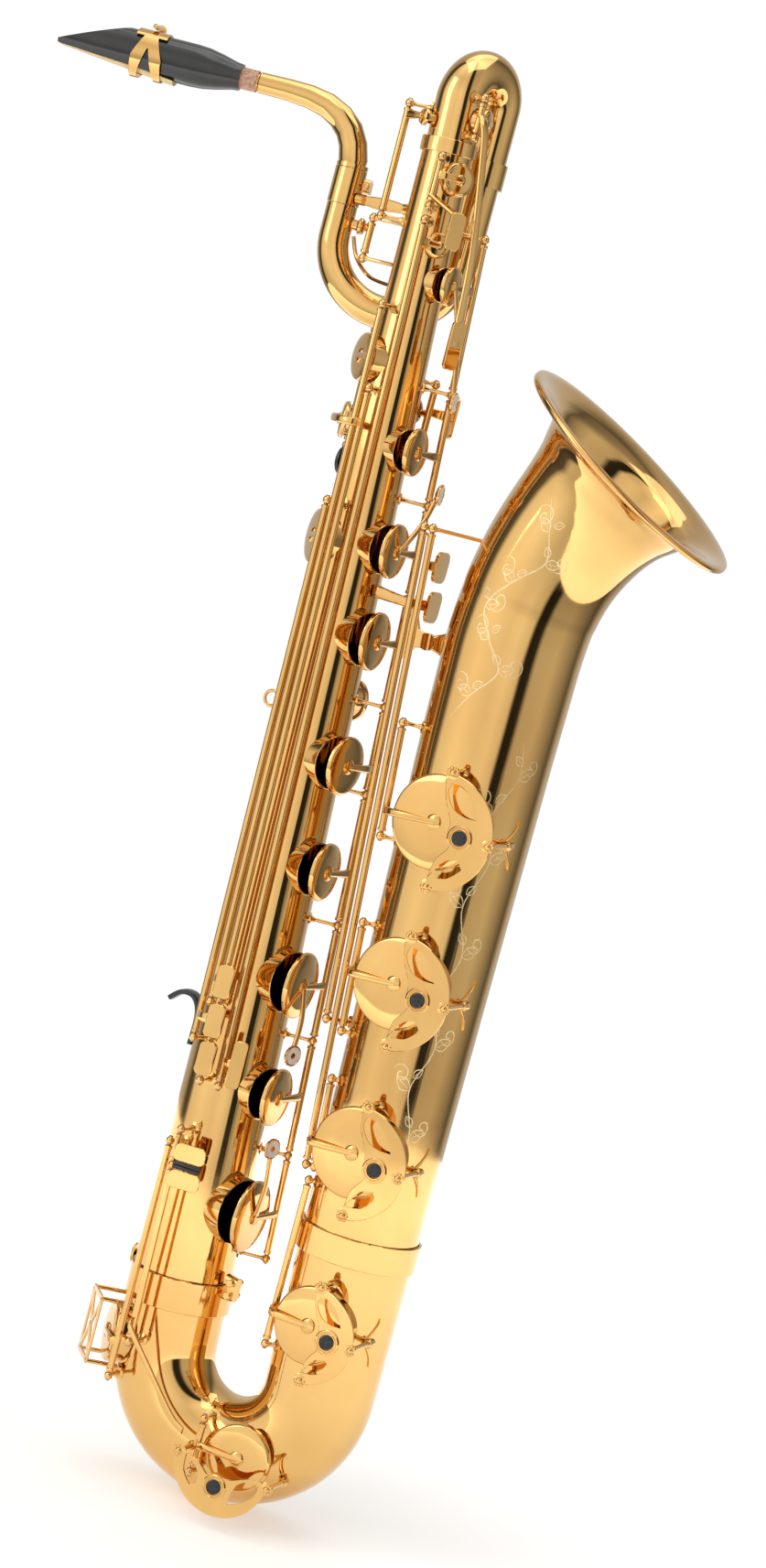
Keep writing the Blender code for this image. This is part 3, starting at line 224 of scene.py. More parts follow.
def noise_of(tree, scale, detail=4.0, roughness=0.55, stretch=None):
    """A noise value in the piece's own coordinates."""
    place = node(tree, "ShaderNodeTexCoord")
    out = place.outputs["Object"]
    if stretch:
        mapping = node(tree, "ShaderNodeMapping")
        mapping.inputs["Scale"].default_value = stretch
        tree.links.new(out, mapping.inputs["Vector"])
        out = mapping.outputs["Vector"]
    texture = node(tree, "ShaderNodeTexNoise")
    texture.inputs["Scale"].default_value = scale
    texture.inputs["Detail"].default_value = detail
    texture.inputs["Roughness"].default_value = roughness
    tree.links.new(out, texture.inputs["Vector"])
    return texture.outputs["Fac"]


def spread(tree, value, low, high, start=0.3, end=0.7):
    """The value, moved from start..end to low..high."""
    made = node(tree, "ShaderNodeMapRange")
    for word, number in (("From Min", start), ("From Max", end), ("To Min", low), ("To Max", high)):
        made.inputs[word].default_value = number
    tree.links.new(value, made.inputs["Value"])
    return made.outputs["Result"]


def blended(tree, value, first, second, start=0.35, end=0.65):
    ramp = node(tree, "ShaderNodeValToRGB")
    ramp.color_ramp.elements[0].position, ramp.color_ramp.elements[0].color = start, (*first, 1)
    ramp.color_ramp.elements[1].position, ramp.color_ramp.elements[1].color = end, (*second, 1)
    tree.links.new(value, ramp.inputs["Fac"])
    return ramp.outputs["Color"]


def material(name, metallic, colours, colour_scale, rough, rough_scale, bumps,
             coat=0.0, ior=1.5, stretch=None):
    """A finish. colours and rough are pairs mixed by noise; bumps are (scale, depth) of fine relief."""
    made = bpy.data.materials.new(name)
    made.use_nodes = True
    tree = made.node_tree
    shader = tree.nodes["Principled BSDF"]
    shader.inputs["Metallic"].default_value = metallic
    shader.inputs["IOR"].default_value = ior
    shader.inputs["Coat Weight"].default_value = coat
    shader.inputs["Coat Roughness"].default_value = 0.06
    tint = blended(tree, noise_of(tree, colour_scale, stretch=stretch), *colours)
    tree.links.new(tint, shader.inputs["Base Color"])
    worn = spread(tree, noise_of(tree, rough_scale, 6.0, stretch=stretch), *rough)
    tree.links.new(worn, shader.inputs["Roughness"])
    normal = None
    for scale, depth in bumps:
        bump = node(tree, "ShaderNodeBump")
        bump.inputs["Strength"].default_value = 1.0
        bump.inputs["Distance"].default_value = depth * MM
        tree.links.new(noise_of(tree, scale, 3.0, stretch=stretch), bump.inputs["Height"])
        if normal is not None:
            tree.links.new(normal, bump.inputs["Normal"])
        normal = bump.outputs["Normal"]
    if normal is not None:
        tree.links.new(normal, shader.inputs["Normal"])
    made.diffuse_color = (*colours[0], 1)
    return made


BRASS = ((0.80, 0.50, 0.175), (0.745, 0.44, 0.145))
MATERIALS = {
    "lacquered_brass": material("lacquered_brass", 1.0, BRASS, 14, (0.045, 0.085), 60,
                                [(9, 0.10), (420, 0.0012)], coat=0.25),
    "engraved_brass": material("engraved_brass", 1.0, ((0.92, 0.76, 0.48), (0.78, 0.58, 0.30)), 300,
                               (0.34, 0.46), 500, [(900, 0.02)]),
    "ebonite": material("ebonite", 0.0, ((0.010, 0.010, 0.011), (0.016, 0.015, 0.015)), 40, (0.10, 0.2), 90,
                        [(300, 0.002)], coat=0.4),
    "cork": material("cork", 0.0, ((0.64, 0.38, 0.27), (0.36, 0.19, 0.13)), 420, (0.75, 0.92), 300,
                     [(500, 0.25)]),
    "cane": material("cane", 0.0, ((0.80, 0.62, 0.33), (0.66, 0.47, 0.21)), 60, (0.45, 0.6), 200,
                     [(300, 0.03)], stretch=(1, 8, 8)),
    "black_plastic": material("black_plastic", 0.0, ((0.014, 0.014, 0.016), (0.022, 0.022, 0.024)), 60,
                              (0.22, 0.34), 160, [(700, 0.01)]),
    "mother_of_pearl": material("mother_of_pearl", 0.0, ((0.90, 0.88, 0.84), (0.72, 0.76, 0.78)), 160,
                                (0.12, 0.22), 200, [(120, 0.03)], coat=0.6, ior=1.6),
    "felt": material("felt", 0.0, ((0.02, 0.02, 0.022), (0.05, 0.05, 0.052)), 900, (0.88, 0.97), 700,
                     [(1400, 0.12)]),
    "pad_leather": material("pad_leather", 0.0, ((0.62, 0.36, 0.19), (0.50, 0.27, 0.13)), 120, (0.45, 0.6),
                            300, [(800, 0.05)]),
    "spring_steel": material("spring_steel", 1.0, ((0.36, 0.37, 0.40), (0.24, 0.25, 0.29)), 200, (0.18, 0.3),
                             300, [(600, 0.004)]),
}

# ---------------------------------------------------------------- shapes


def shell(points, faces):
    """A mesh from points and faces, with its faces turned outwards."""
    mesh = bpy.data.meshes.new("shape")
    mesh.from_pydata([tuple(p * MM) for p in points], [], faces)
    bm = bmesh.new()
    bm.from_mesh(mesh)
    bmesh.ops.recalc_face_normals(bm, faces=bm.faces)
    bm.to_mesh(mesh)
    bm.free()
    return mesh


def loft(rings, closed=False):
    """Rings of points joined in turn; open ends are capped, and a closed loft meets itself."""
    sides = len(rings[0])
    points = [p for ring in rings for p in ring]
    spans = len(rings) if closed else len(rings) - 1
    faces = []
    for i in range(spans):
        a, b = i * sides, (i + 1) % len(rings) * sides
        faces += [(a + k, a + (k + 1) % sides, b + (k + 1) % sides, b + k) for k in range(sides)]
    if not closed:
        faces.append(tuple(range(sides))[::-1])
        faces.append(tuple(range(len(points) - sides, len(points))))
    return shell(points, faces)


def square_to(axis):
    """Two unit vectors square to an axis and to each other."""
    axis = axis.normalized()
    guide = Vector((0, 0, 1)) if abs(axis.z) < 0.9 else Vector((1, 0, 0))
    side = guide.cross(axis).normalized()
    return side, axis.cross(side)


def circle(centre, side, up, r, sides):
    turns = [tau * k / sides for k in range(sides)]
    return [centre + r * (cos(turn) * side + sin(turn) * up) for turn in turns]


def smooth_path(points, steps=6):
    """More points along a path, bending smoothly through the given ones."""
    if len(points) < 3:
        return list(points)
    out = []
    last = len(points) - 1
    for i in range(last):
        before, a = points[max(i - 1, 0)], points[i]
        b, after = points[i + 1], points[min(i + 2, last)]
        for k in range(steps):
            t = k / steps
            m0, m1 = (b - before) * 0.5, (after - a) * 0.5
            h = t * t * (3 - 2 * t)
            out.append(a * (1 - h) + b * h + m0 * (t * (1 - t) ** 2) - m1 * (t * t * (1 - t)))
    return out + [points[-1]]


def smooth_row(values, steps=6):
    """Widths or radii for smooth_path's points."""
    return [v.x for v in smooth_path([Vector((v, 0, 0)) for v in values], steps)]


def pipe(points, radii, sides=24):
    """A solid round bar along points, with a radius at each."""
    rings = []
    side, up = None, None
    for i, point in enumerate(points):
        tangent = (points[min(i + 1, len(points) - 1)] - points[max(i - 1, 0)]).normalized()
        if side is None:
            side, up = square_to(tangent)
        else:
            side = (side - tangent * side.dot(tangent)).normalized()
            up = tangent.cross(side)
        rings.append(circle(point, side, up, radii[i], sides * FINE))
    return loft(rings)


def rod(start, end, r, sides=6):
    """A round rod with softened ends."""
    way = (end - start).normalized()
    soft = min(0.4, r * 0.3)
    points = [start, start + way * soft, end - way * soft, end]
    return pipe(points, [r - soft, r, r, r - soft], max(sides, 5))


def turned(origin, axis, outline, sides=24, whole=True):
    """A solid turned about an axis. outline is (radius, height) pairs; whole caps both ends."""
    side, up = square_to(axis)
    axis = axis.normalized()
    rings = [circle(origin + axis * h, side, up, r, sides * FINE) for r, h in outline]
    return loft(rings, closed=not whole)


def ring(origin, axis, inner, outer, low, high, sides=24):
    """A ring with softened edges."""
    e = min(0.35, (outer - inner) * 0.3, (high - low) * 0.3)
    outline = [(outer - e, low), (outer, low + e), (outer, high - e), (outer - e, high)]
    outline += [(inner + e, high), (inner, high - e), (inner, low + e), (inner + e, low)]
    return turned(origin, axis, outline, sides, whole=False)


def sphere(centre, axis, r, sides=6):
    steps = [pi * i / 12 for i in range(13)]
    return turned(centre, axis, [(max(r * sin(t), 0.02), -r * cos(t)) for t in steps], sides)


def bar(points, side, widths, thick):
    """A rounded strip along points. side is the way its width lies, with a width at each point."""
    if len(points) > 2:
        points, widths = smooth_path(points), smooth_row(widths)
    side = side.normalized()
    rings = []
    for i, point in enumerate(points):
        tangent = (points[min(i + 1, len(points) - 1)] - points[max(i - 1, 0)]).normalized()
        rise = side.cross(tangent).normalized()
        half, tall, e = widths[i] / 2, thick / 2, min(0.45 * thick, 0.45 * widths[i])
        ringed = []
        for u, v, start in ((1, 1, 0), (-1, 1, 90), (-1, -1, 180), (1, -1, 270)):
            for k in range(4):
                t = radians(start + 30 * k)
                x, y = u * (half - e) + e * cos(t), v * (tall - e) + e * sin(t)
                ringed.append(point + side * x + rise * y)
        rings.append(ringed)
    return loft(rings)


def inset(outline, normal, amount):
    """The outline drawn in by an amount, in its own plane."""
    count = len(outline)
    middle = sum(outline, Vector()) / count
    pairs = zip(outline, outline[1:] + outline[:1])
    area = sum((a - middle).cross(b - middle).dot(normal) for a, b in pairs)
    sense = 1 if area > 0 else -1
    out = []
    for i, p in enumerate(outline):
        way = (outline[(i + 1) % count] - outline[i - 1]).normalized()
        out.append(p + normal.cross(way) * amount * sense)
    return out


def plate(outline, lift):
    """A flat plate with softened edges: an outline of points, made as thick as the vector lift."""
    e = min(0.4, lift.length * 0.3)
    normal = lift.normalized()
    small = inset(outline, normal, e)
    rings = [[p - lift / 2 for p in small], [p - lift / 2 + normal * e for p in outline]]
    rings += [[p + lift / 2 - normal * e for p in outline], [p + lift / 2 for p in small]]
    return loft(rings)


def arc(centre, x_way, y_way, r, start, end, steps):
    steps *= 4
    turns = [radians(start + (end - start) * i / steps) for i in range(steps + 1)]
    return [centre + r * (cos(t) * x_way + sin(t) * y_way) for t in turns]


def joined(meshes):
    """One mesh made of several, left as separate shells."""
    bm = bmesh.new()
    for mesh in meshes:
        bm.from_mesh(mesh)
    out = bpy.data.meshes.new("joined")
    bm.to_mesh(out)
    bm.free()
    return out


def merge(base, extras, operation="UNION"):
    """The base mesh joined with, or cut by, the extra meshes."""
    if operation == "UNION":
        return joined([base] + list(extras))
    helper = bpy.data.collections.new("helpers")
    bpy.context.scene.collection.children.link(helper)
    target = bpy.data.objects.new("target", base)
    bpy.context.scene.collection.objects.link(target)
    for mesh in extras:
        helper.objects.link(bpy.data.objects.new("helper", mesh))
    boolean = target.modifiers.new("merge", "BOOLEAN")
    boolean.operation = "UNION" if operation == "FUSE" else operation
    boolean.solver = "EXACT"
    boolean.operand_type = "COLLECTION"
    boolean.collection = helper
    bpy.context.view_layer.update()
    depsgraph = bpy.context.evaluated_depsgraph_get()
    result = bpy.data.meshes.new_from_object(target.evaluated_get(depsgraph))
    for helper_object in list(helper.objects) + [target]:
        bpy.data.objects.remove(helper_object)
    bpy.data.collections.remove(helper)
    return result


# ---------------------------------------------------------------- pieces

BODY_OF = {node: body for body, nodes in frame["record"]["behaviour"]["bodies"].items() for node in nodes}
SHARP = 32              # degrees between faces at which an edge shows as an edge


def show(name, mesh, finish, node):
    """A visible piece that stands for a CAD node and moves with its body."""
    mesh.transform(Matrix.Translation(-STRAP_POINT * MM))
    mesh.name = name
    mesh.materials.clear()
    mesh.materials.append(MATERIALS[finish])
    mesh.polygons.foreach_set("material_index", [0] * len(mesh.polygons))
    mesh.shade_smooth()
    mesh.set_sharp_from_angle(angle=radians(SHARP))
    piece = bpy.data.objects.new(name, mesh)
    bpy.context.scene.collection.objects.link(piece)
    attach(piece, BODY_OF[node])
    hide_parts(node)
    return piece


def make(name, mesh, finish="lacquered_brass"):
    """The main visible piece of a CAD node."""
    return show(name + "_shown", mesh, finish, name)


POST_HEAD = [(0.3, -3.1), (1.7, -2.75), (2.6, -1.9), (3.05, -0.8)]
POST_HEAD += [(r, -rise) for r, rise in POST_HEAD[::-1]]


class Tube:
    """A tube that takes tone holes and posts, then is joined and bored out in one go."""

    def __init__(self, name, outside, bore):
        self.name, self.outside, self.bore = name, outside, bore
        self.adds, self.cuts, self.fused, self.steel = [], [], [], []

    def chimney(self, crown, way, tube_r, hole_r):
        """A raised tone hole. crown is on the tube's surface; returns the middle of its seat."""
        seat = crown + way * CHIMNEY
        root = tube_r - sqrt(max(tube_r ** 2 - (hole_r + WALL) ** 2, 0)) + 2
        root = min(root, tube_r)
        sides = 14 if hole_r > 15 else 10
        outer = hole_r + WALL
        wall = [(outer, -CHIMNEY - root), (outer, -0.35), (outer - 0.35, 0)]
        self.fused.append(turned(seat, way, wall, sides))
        self.cuts.append(turned(seat, way, [(hole_r, -CHIMNEY - tube_r * 0.9), (hole_r, 1)], sides))
        return seat

    def post(self, head, foot, run=None):
        """A post with a ball head; its foot is a point inside the tube."""
        way = (foot - head).normalized()
        length = (foot - head).length - FOOT_DEPTH
        stem = [(1.6, 1.6), (1.9, 3.0), (1.35, 4.2), (1.35, length - 4.2), (1.9, length - 2.6)]
        if length < 9:
            stem = [(1.6, 1.6), (1.6, length - 2.6)]
        stem += [(2.2, length - 1.5), (4.4, length - 0.8), (4.4, length + 0.9)]
        self.adds.append(turned(head, way, stem, 5))
        axis = run if run is not None else UP
        self.adds.append(turned(head, axis, POST_HEAD, 5))
        self.steel.append(turned(head, axis, [(1.25, -3.5), (1.5, -3.2), (1.5, 3.2), (1.25, 3.5)], 4))

    def build(self):
        whole = merge(self.outside, self.fused, "FUSE") if self.fused else self.outside
        cut = merge(whole, [self.bore] + self.cuts, "DIFFERENCE")
        make(self.name, joined([cut] + self.adds))
        if self.steel:
            show(self.name + "_pivots", joined(self.steel), "spring_steel", self.name)


# ---------------------------------------------------------------- keys


def turned_about(mesh, point, axis, degrees):
    about = Matrix.Translation(point * MM)
    mesh.transform(about @ Matrix.Rotation(radians(degrees), 4, axis) @ about.inverted())
    return mesh


def cup(seat, way, r):
    """A pad cup just above its seat, hollow underneath, with a shouldered, slightly domed back."""
    h = CUP_HEIGHT
    outline = [(r * 0.3, 2.1), (r - 0.7, 2.1), (r - 0.7, 0.8), (r - 0.3, 0.6), (r, 0.9), (r, h - 1.9)]
    outline += [(r - 0.3, h - 1.2), (r - 1.0, h - 0.6), (r - 2.0, h - 0.3), (r * 0.82, h - 0.1)]
    outline += [(r * 0.78, h + 0.1), (r * 0.6, h + 0.3), (r * 0.3, h + 0.6), (0.05, h + 0.7)]
    return turned(seat, way, outline, 20 if r > 18 else 12)


def pad(seat, way, r):
    outline = [(r * 0.1, 0.32), (r - 2.2, 0.32), (r - 1.2, 0.6)]
    outline += [(r - 0.9, 1.1), (r - 0.9, 2.0), (r * 0.1, 2.0)]
    return turned(seat, way, outline, 16 if r > 18 else 10)


def resonator(seat, way, r):
    outline = [(0.1, 0.12), (r * 0.42, 0.12), (r * 0.45, 0.2), (r * 0.45, 0.5), (0.1, 0.5)]
    return turned(seat, way, outline, 12)


def cup_arm(hinge_point, run, seat, way, r, via=(), width=5.5):
    """The arm from the hinge tube, by way of any via points, over the cup's edge to its middle."""
    across = (seat - hinge_point) - (seat - hinge_point).dot(way) * way
    across -= across.dot(run) * run
    inward = across.normalized()
    top = seat + way * (CUP_HEIGHT + 1.4)
    edge = top - inward * (r + 0.5) + way * 0.8
    points = [hinge_point] + list(via) + [edge, top + inward * 1]
    arm = bar(points, run, [width + 1.5] + [width] * (len(points) - 2) + [width - 1.5], 3.0)
    h = CUP_HEIGHT + 0.4
    big = min(5.5, r * 0.32)
    boss_outline = [(big, h), (big, h + 0.9), (big - 0.8, h + 1.7), (big * 0.5, h + 2.2), (0.05, h + 2.3)]
    return joined([arm, turned(seat, way, boss_outline, 8)])


def key(name, low, high, shapes, opening, stands_open, home, posts=(True, True), extras=()):
    """A hinged key. shapes are meshes in its closed place, joined to the hinge tube between low and
    high; opening is in degrees, with its sign; home takes the posts, and stands_open keys rest open.
    extras are (word, mesh, finish) pieces that move with it."""
    run = (high - low).normalized()
    collar = [(ROD_R, 0.1), (ROD_R + 0.5, 0.4), (ROD_R + 0.5, 2.2), (ROD_R, 2.6)]
    collars = [turned(low, run, collar, 5), turned(high, -run, collar, 5)]
    mesh = joined([rod(low, high, ROD_R, 6)] + collars + list(shapes))
    if stands_open:
        turned_about(mesh, low, run, opening)
    make(name, mesh)
    for word, extra, finish in extras:
        if stands_open:
            turned_about(extra, low, run, opening)
        show(name + "_" + word, extra, finish, name)
    for wanted, head in zip(posts, (low - run * POST_GAP, high + run * POST_GAP)):
        if wanted:
            tube, foot = home(head)
            tube.post(head, foot, run)


def pad_key(name, line, span, seat, way, r, opening, stands_open, home, shapes=(), via=(), extras=(), **more):
    """A key with one pad cup. line gives a hinge point for a height, and span is the tube's reach."""
    low, high = line(span[0]), line(span[1])
    run = (high - low).normalized()
    hinge_point = low + run * (seat - low).dot(run)
    sign = 1 if run.cross(seat - hinge_point).dot(way) > 0 else -1
    parts = [cup(seat, way, r), cup_arm(hinge_point, run, seat, way, r, via), resonator(seat, way, r)]
    extras = list(extras) + [("pad", pad(seat, way, r), "pad_leather")]
    key(name, low, high, parts + list(shapes), sign * opening, stands_open, home, extras=extras, **more)


def rounded_outline(centre, side, up, width, height, corner):
    w, h = width / 2 - corner, height / 2 - corner
    out = []
    for u, v, start in ((1, 1, 0), (-1, 1, 90), (-1, -1, 180), (1, -1, 270)):
        for k in range(7):
            t = radians(start + 15 * k)
            out.append(centre + side * (u * w + corner * cos(t)) + up * (v * h + corner * sin(t)))
    return out


def touch(centre, way, up, width, height, thick=2.4):
    """A finger plate with rounded corners; way is the side the finger presses."""
    side = up.cross(way).normalized()
    return plate(rounded_outline(centre, side, up, width, height, min(width, height) * 0.3), way * thick)


def pearl_seat(centre, way, r=7.6):
    outline = [(r - 1.5, -2.4), (r, -0.8), (r, 0.4), (r - 0.3, 0.75), (r - 0.9, 0.75), (r - 1.2, 0.2)]
    return turned(centre, way, outline, 12)


def pearl(centre, way, r=7.6):
    return turned(centre, way, [(r - 1.3, 0.1), (r - 1.25, 0.45), (r * 0.55, 0.25), (0.1, 0.15)], 12)


# ---------------------------------------------------------------- tubes


UP = Vector((0, 0, 1))
PLAYER_RIGHT = Vector((0, -1, 0))
STRAP_PLATE = 1.5
THUMB_REST_Z = level(722)
STRAP_POINT = around(level(STRAP_Z), -90, RING_R + RING_WIRE + 2 * SEAT + STRAP_PLATE)

BODY_TOP = body_axis(BODY_TOP_Z)


def bored(points, radii, sides):
    """The outside of a tube and the bore that opens both its ends."""
    first, last = points[0] - points[1], points[-1] - points[-2]
    inner = [points[0] + first.normalized()] + points[1:-1] + [points[-1] + last.normalized()]
    return pipe(points, radii, sides), pipe(inner, [r - WALL for r in radii], sides)


BODY = Tube("body_tube", *bored([BODY_FOOT, BODY_TOP], [BODY_FOOT_R, BODY_TOP_R], 24))


def bow_path():
    body_leg = body_axis(BODY_FOOT.z - SEAT)
    bell_leg = bell_axis(BELL_BEND_Z - SEAT)
    turns = [4.5 * i for i in range(41)]
    points = [body_leg] + [bow_point(t) for t in turns] + [bell_leg]
    return points, [BODY_FOOT_R + 0.4] + [bow_r(t) for t in turns] + [bell_r(BELL_BEND_Z)]


BOW = Tube("bow", *bored(*bow_path(), 20))


RIM_WAY = Vector((sin(radians(BELL_RIM_TILT)), 0, cos(radians(BELL_RIM_TILT))))
# The flare: distance down from the rim, and how far the wall has opened from throat to rim.
FLARE = [(0, 1), (2.5, 0.771), (6, 0.573), (12, 0.374), (21, 0.273), (33, 0.172), (47, 0.11), (64, 0.07)]
FLARE += [(90, 0.031), (125, 0.004)]


def flare_r(distance):
    """The bell's outer radius at a distance down its axis from the rim."""
    return BELL_THROAT_R + (BELL_RIM_R - BELL_THROAT_R) * eased(FLARE, distance)


def bell_curve(share):
    """The bell's centreline from its straight tube to the rim."""
    start, bend = bell_axis(BELL_CURVE_Z), bell_axis(662)
    near = BELL_RIM_CENTRE - RIM_WAY * 94
    a, b, c, d = (1 - share) ** 3, 3 * share * (1 - share) ** 2, 3 * share ** 2 * (1 - share), share ** 3
    return start * a + bend * b + near * c + BELL_RIM_CENTRE * d


def eased(table, distance):
    """The table's value at a distance, on a smooth monotone curve through its entries."""
    if distance <= table[0][0]:
        return table[0][1]
    if distance >= table[-1][0]:
        return table[-1][1]
    slopes = [(b[1] - a[1]) / (b[0] - a[0]) for a, b in zip(table, table[1:])]
    tangents = [slopes[0]] + [2 * a * b / (a + b) if a * b > 0 else 0 for a, b in zip(slopes, slopes[1:])]
    tangents.append(slopes[-1])
    for i, ((x0, y0), (x1, y1)) in enumerate(zip(table, table[1:])):
        if distance <= x1:
            step = x1 - x0
            t = (distance - x0) / step
            first = (1 + 2 * t) * (1 - t) ** 2 * y0 + t * (1 - t) ** 2 * step * tangents[i]
            return first + t * t * (3 - 2 * t) * y1 - t * t * (1 - t) * step * tangents[i + 1]
    return table[-1][1]


def bell_rows():
    """Points and outer radii down the bell's centreline, close together near the rim."""
    steps = 1200
    samples = [bell_curve(i / steps) for i in range(steps + 1)]
    left = [0.0]
    for here, after in zip(samples[::-1], samples[-2::-1]):
        left.append(left[-1] + (here - after).length)
    left.reverse()
    wanted = [160 * (1 - i / 60) ** 1.7 for i in range(1, 60)]
    points = [bell_axis(z) for z in (BELL_BEND_Z, BELL_CURVE_Z - 2)]
    radii = [bell_r(p.z) for p in points]
    for distance in wanted:
        nearest = min(range(steps + 1), key=lambda i: abs(left[i] - distance))
        points.append(samples[nearest])
        plain = bell_r(min(samples[nearest].z, BELL_THROAT_Z))
        radii.append(max(plain, flare_r(distance)) if distance < 118 else plain)
    return points + [BELL_RIM_CENTRE], radii + [BELL_RIM_R - 1.2], wanted


def bell_shapes():
    """The bell's outside and bore, from its straight tube to the flared rim."""
    points, radii, wanted = bell_rows()
    outside = pipe(points, radii, BELL_SIDES)
    inner = [bell_axis(BELL_BEND_Z - 1)] + points[1:] + [BELL_RIM_CENTRE + RIM_WAY * 2]
    thin = [r - WALL for r in radii[:2]]
    thin += [min(r - WALL, flare_r(d + WALL) - 0.9) for r, d in zip(radii[2:], wanted)]
    lip = thin[-1] + 2.2
    return outside, pipe(inner, thin + [lip, lip], BELL_SIDES)


BELL = Tube("bell", *bell_shapes())
BEAD_R = 2.3
side_way, up_way = square_to(RIM_WAY)
bead = []
for turn in [tau * i / 160 for i in range(160)]:
    out = side_way * cos(turn) + up_way * sin(turn)
    middle = BELL_RIM_CENTRE - RIM_WAY * (BEAD_R + 0.1) + out * (BELL_RIM_R - BEAD_R - 0.1)
    bead.append(circle(middle, out, RIM_WAY, BEAD_R, 20))
BELL.adds.append(loft(bead, closed=True))


def on_horn(head):
    """The tube that carries a post with this head, and a foot well inside its wall."""
    to_body = (head - body_axis(head.z)).length - body_r(head.z)
    to_bell = (head - bell_axis(head.z)).length - bell_r(head.z)
    near_body = to_body < to_bell
    if near_body and head.z > BODY_TOP.z:
        axis = body_axis(head.z)
        return TOP_BOW, axis + (head - axis).normalized() * (BODY_TOP_R - FOOT_DEPTH)
    if head.z < BOW_FOOT_Z:
        out = Vector((head.x - BOW_CENTRE.x, 0, head.z - BOW_CENTRE.z)).length - BOW_BEND_R
        depth = sqrt(bow_r(90) ** 2 - out ** 2) - FOOT_DEPTH
        return BOW, Vector((head.x, -depth, head.z))
    if near_body:
        tube = BODY if head.z > BODY_FOOT.z else BOW
        axis, r = body_axis(head.z), body_r(head.z)
    else:
        tube = BELL if head.z > BELL_BEND_Z else BOW
        axis, r = bell_axis(head.z), bell_r(head.z)
    return tube, axis + (head - axis).normalized() * (r - FOOT_DEPTH)


def on_bell(head):
    """A post on the bell tube, aimed behind its middle so that it clears the rods beside it."""
    axis = bell_axis(head.z)
    if head.z > BELL_CURVE_Z:
        axis = min((bell_curve(i / 50) for i in range(40)), key=lambda place: abs(place.z - head.z))
    axis = at_height(axis, head.z)
    way = (axis + Vector((0, POST_AIM, 0)) - head).normalized()
    along = (axis - head).dot(way)
    miss = (axis - head - way * along).length
    return BELL, head + way * (along - sqrt(bell_r(head.z) ** 2 - miss ** 2) + FOOT_DEPTH)


def on_bell_near(head):
    """A short post on the bell tube, straight towards its middle."""
    axis = bell_axis(head.z)
    return BELL, axis + (head - axis).normalized() * (bell_r(head.z) - FOOT_DEPTH)


BEND_WAY = Vector((cos(radians(TOP_BOW_HEADING)), sin(radians(TOP_BOW_HEADING)), 0))
LOOP_WAY = Vector((cos(radians(LOOP_HEADING)), sin(radians(LOOP_HEADING)), 0))
BEND_START = body_axis(TOP_BOW_Z)
RISER = BEND_START + BEND_WAY * TOP_BOW_SPAN
RECEIVER = RISER + LOOP_WAY * LOOP_SPAN
LOOP_SIDE = LOOP_WAY.cross(UP)
LOOP_END_R = NECK_TENON_R + 2
TOP_BOW_R = BODY_TOP_R - 3 * SEAT


def at_height(point, z):
    return Vector((point.x, point.y, z))


def top_bow_path():
    middle = BEND_START + BEND_WAY * TOP_BOW_SPAN / 2
    bend = arc(middle, -BEND_WAY, UP, TOP_BOW_SPAN / 2, 0, 180, 8)
    points = [BODY_TOP + UP * SEAT] + bend + [at_height(RISER, LOOP_TOP_Z + SEAT)]
    shares = [max(0, i - 1) / (len(points) - 2) for i in range(len(points))]
    radii = [TOP_BOW_R + (TOP_BOW_END_R - TOP_BOW_R) * share for share in shares]
    return points, radii


def loop_path():
    middle = at_height(RISER, LOOP_BEND_Z) + LOOP_WAY * LOOP_SPAN / 2
    bend = arc(middle, -LOOP_WAY, -UP, LOOP_SPAN / 2, 0, 180, 10)
    points = [at_height(RISER, LOOP_TOP_Z)] + bend + [at_height(RECEIVER, RECEIVER_Z[0] - SEAT)]
    radii = [LOOP_R + (LOOP_END_R - LOOP_R) * i / (len(points) - 1) for i in range(len(points))]
    return points, radii


TOP_BOW = Tube("top_bow", *bored(*top_bow_path(), 14))
LOOP = Tube("loop_tube", *bored(*loop_path(), 12))
SOCKET_BASE = at_height(RISER, 0)
SOCKET_OUTER = SOCKET_R + WALL
SOCKET_SIDES = 20
SOCKET = [(SOCKET_OUTER, LOOP_TOP_Z - 6), (SOCKET_OUTER, SOCKET_TOP_Z)]
SOCKET_HOLE = [(SOCKET_R, LOOP_TOP_Z), (SOCKET_R, SOCKET_TOP_Z + 1)]
LOOP.adds.append(turned(SOCKET_BASE, UP, SOCKET, SOCKET_SIDES))
LOOP.cuts.append(turned(SOCKET_BASE, UP, SOCKET_HOLE, SOCKET_SIDES))


def neck_at(reach, z, aside=0):
    """A point in the neck's upright plane, by its reach from the receiver and its height."""
    return at_height(RECEIVER, z) + LOOP_WAY * reach + LOOP_SIDE * aside


def fixed_rings():
    """The clamp ring and ferrules that hold the tubes end to end."""
    bow_seam = body_axis(BODY_FOOT.z)
    lean = (BODY_TOP - BODY_FOOT).normalized()
    inner = bow_r(0) + SEAT
    make("bow_clamp_ring", ring(bow_seam, lean, inner, inner + 2, -15, 8, 28))
    bell_inner = bell_r(BELL_BEND_Z + 8) + SEAT
    make("bell_ferrule", ring(bell_axis(BELL_BEND_Z), UP, bell_inner, bell_inner + 2, -13, 7, 28))
    top_inner = body_r(BODY_TOP.z - 9) + SEAT
    make("body_top_ferrule", ring(BODY_TOP, lean, top_inner, top_inner + 1.6, -2, 8, 24))


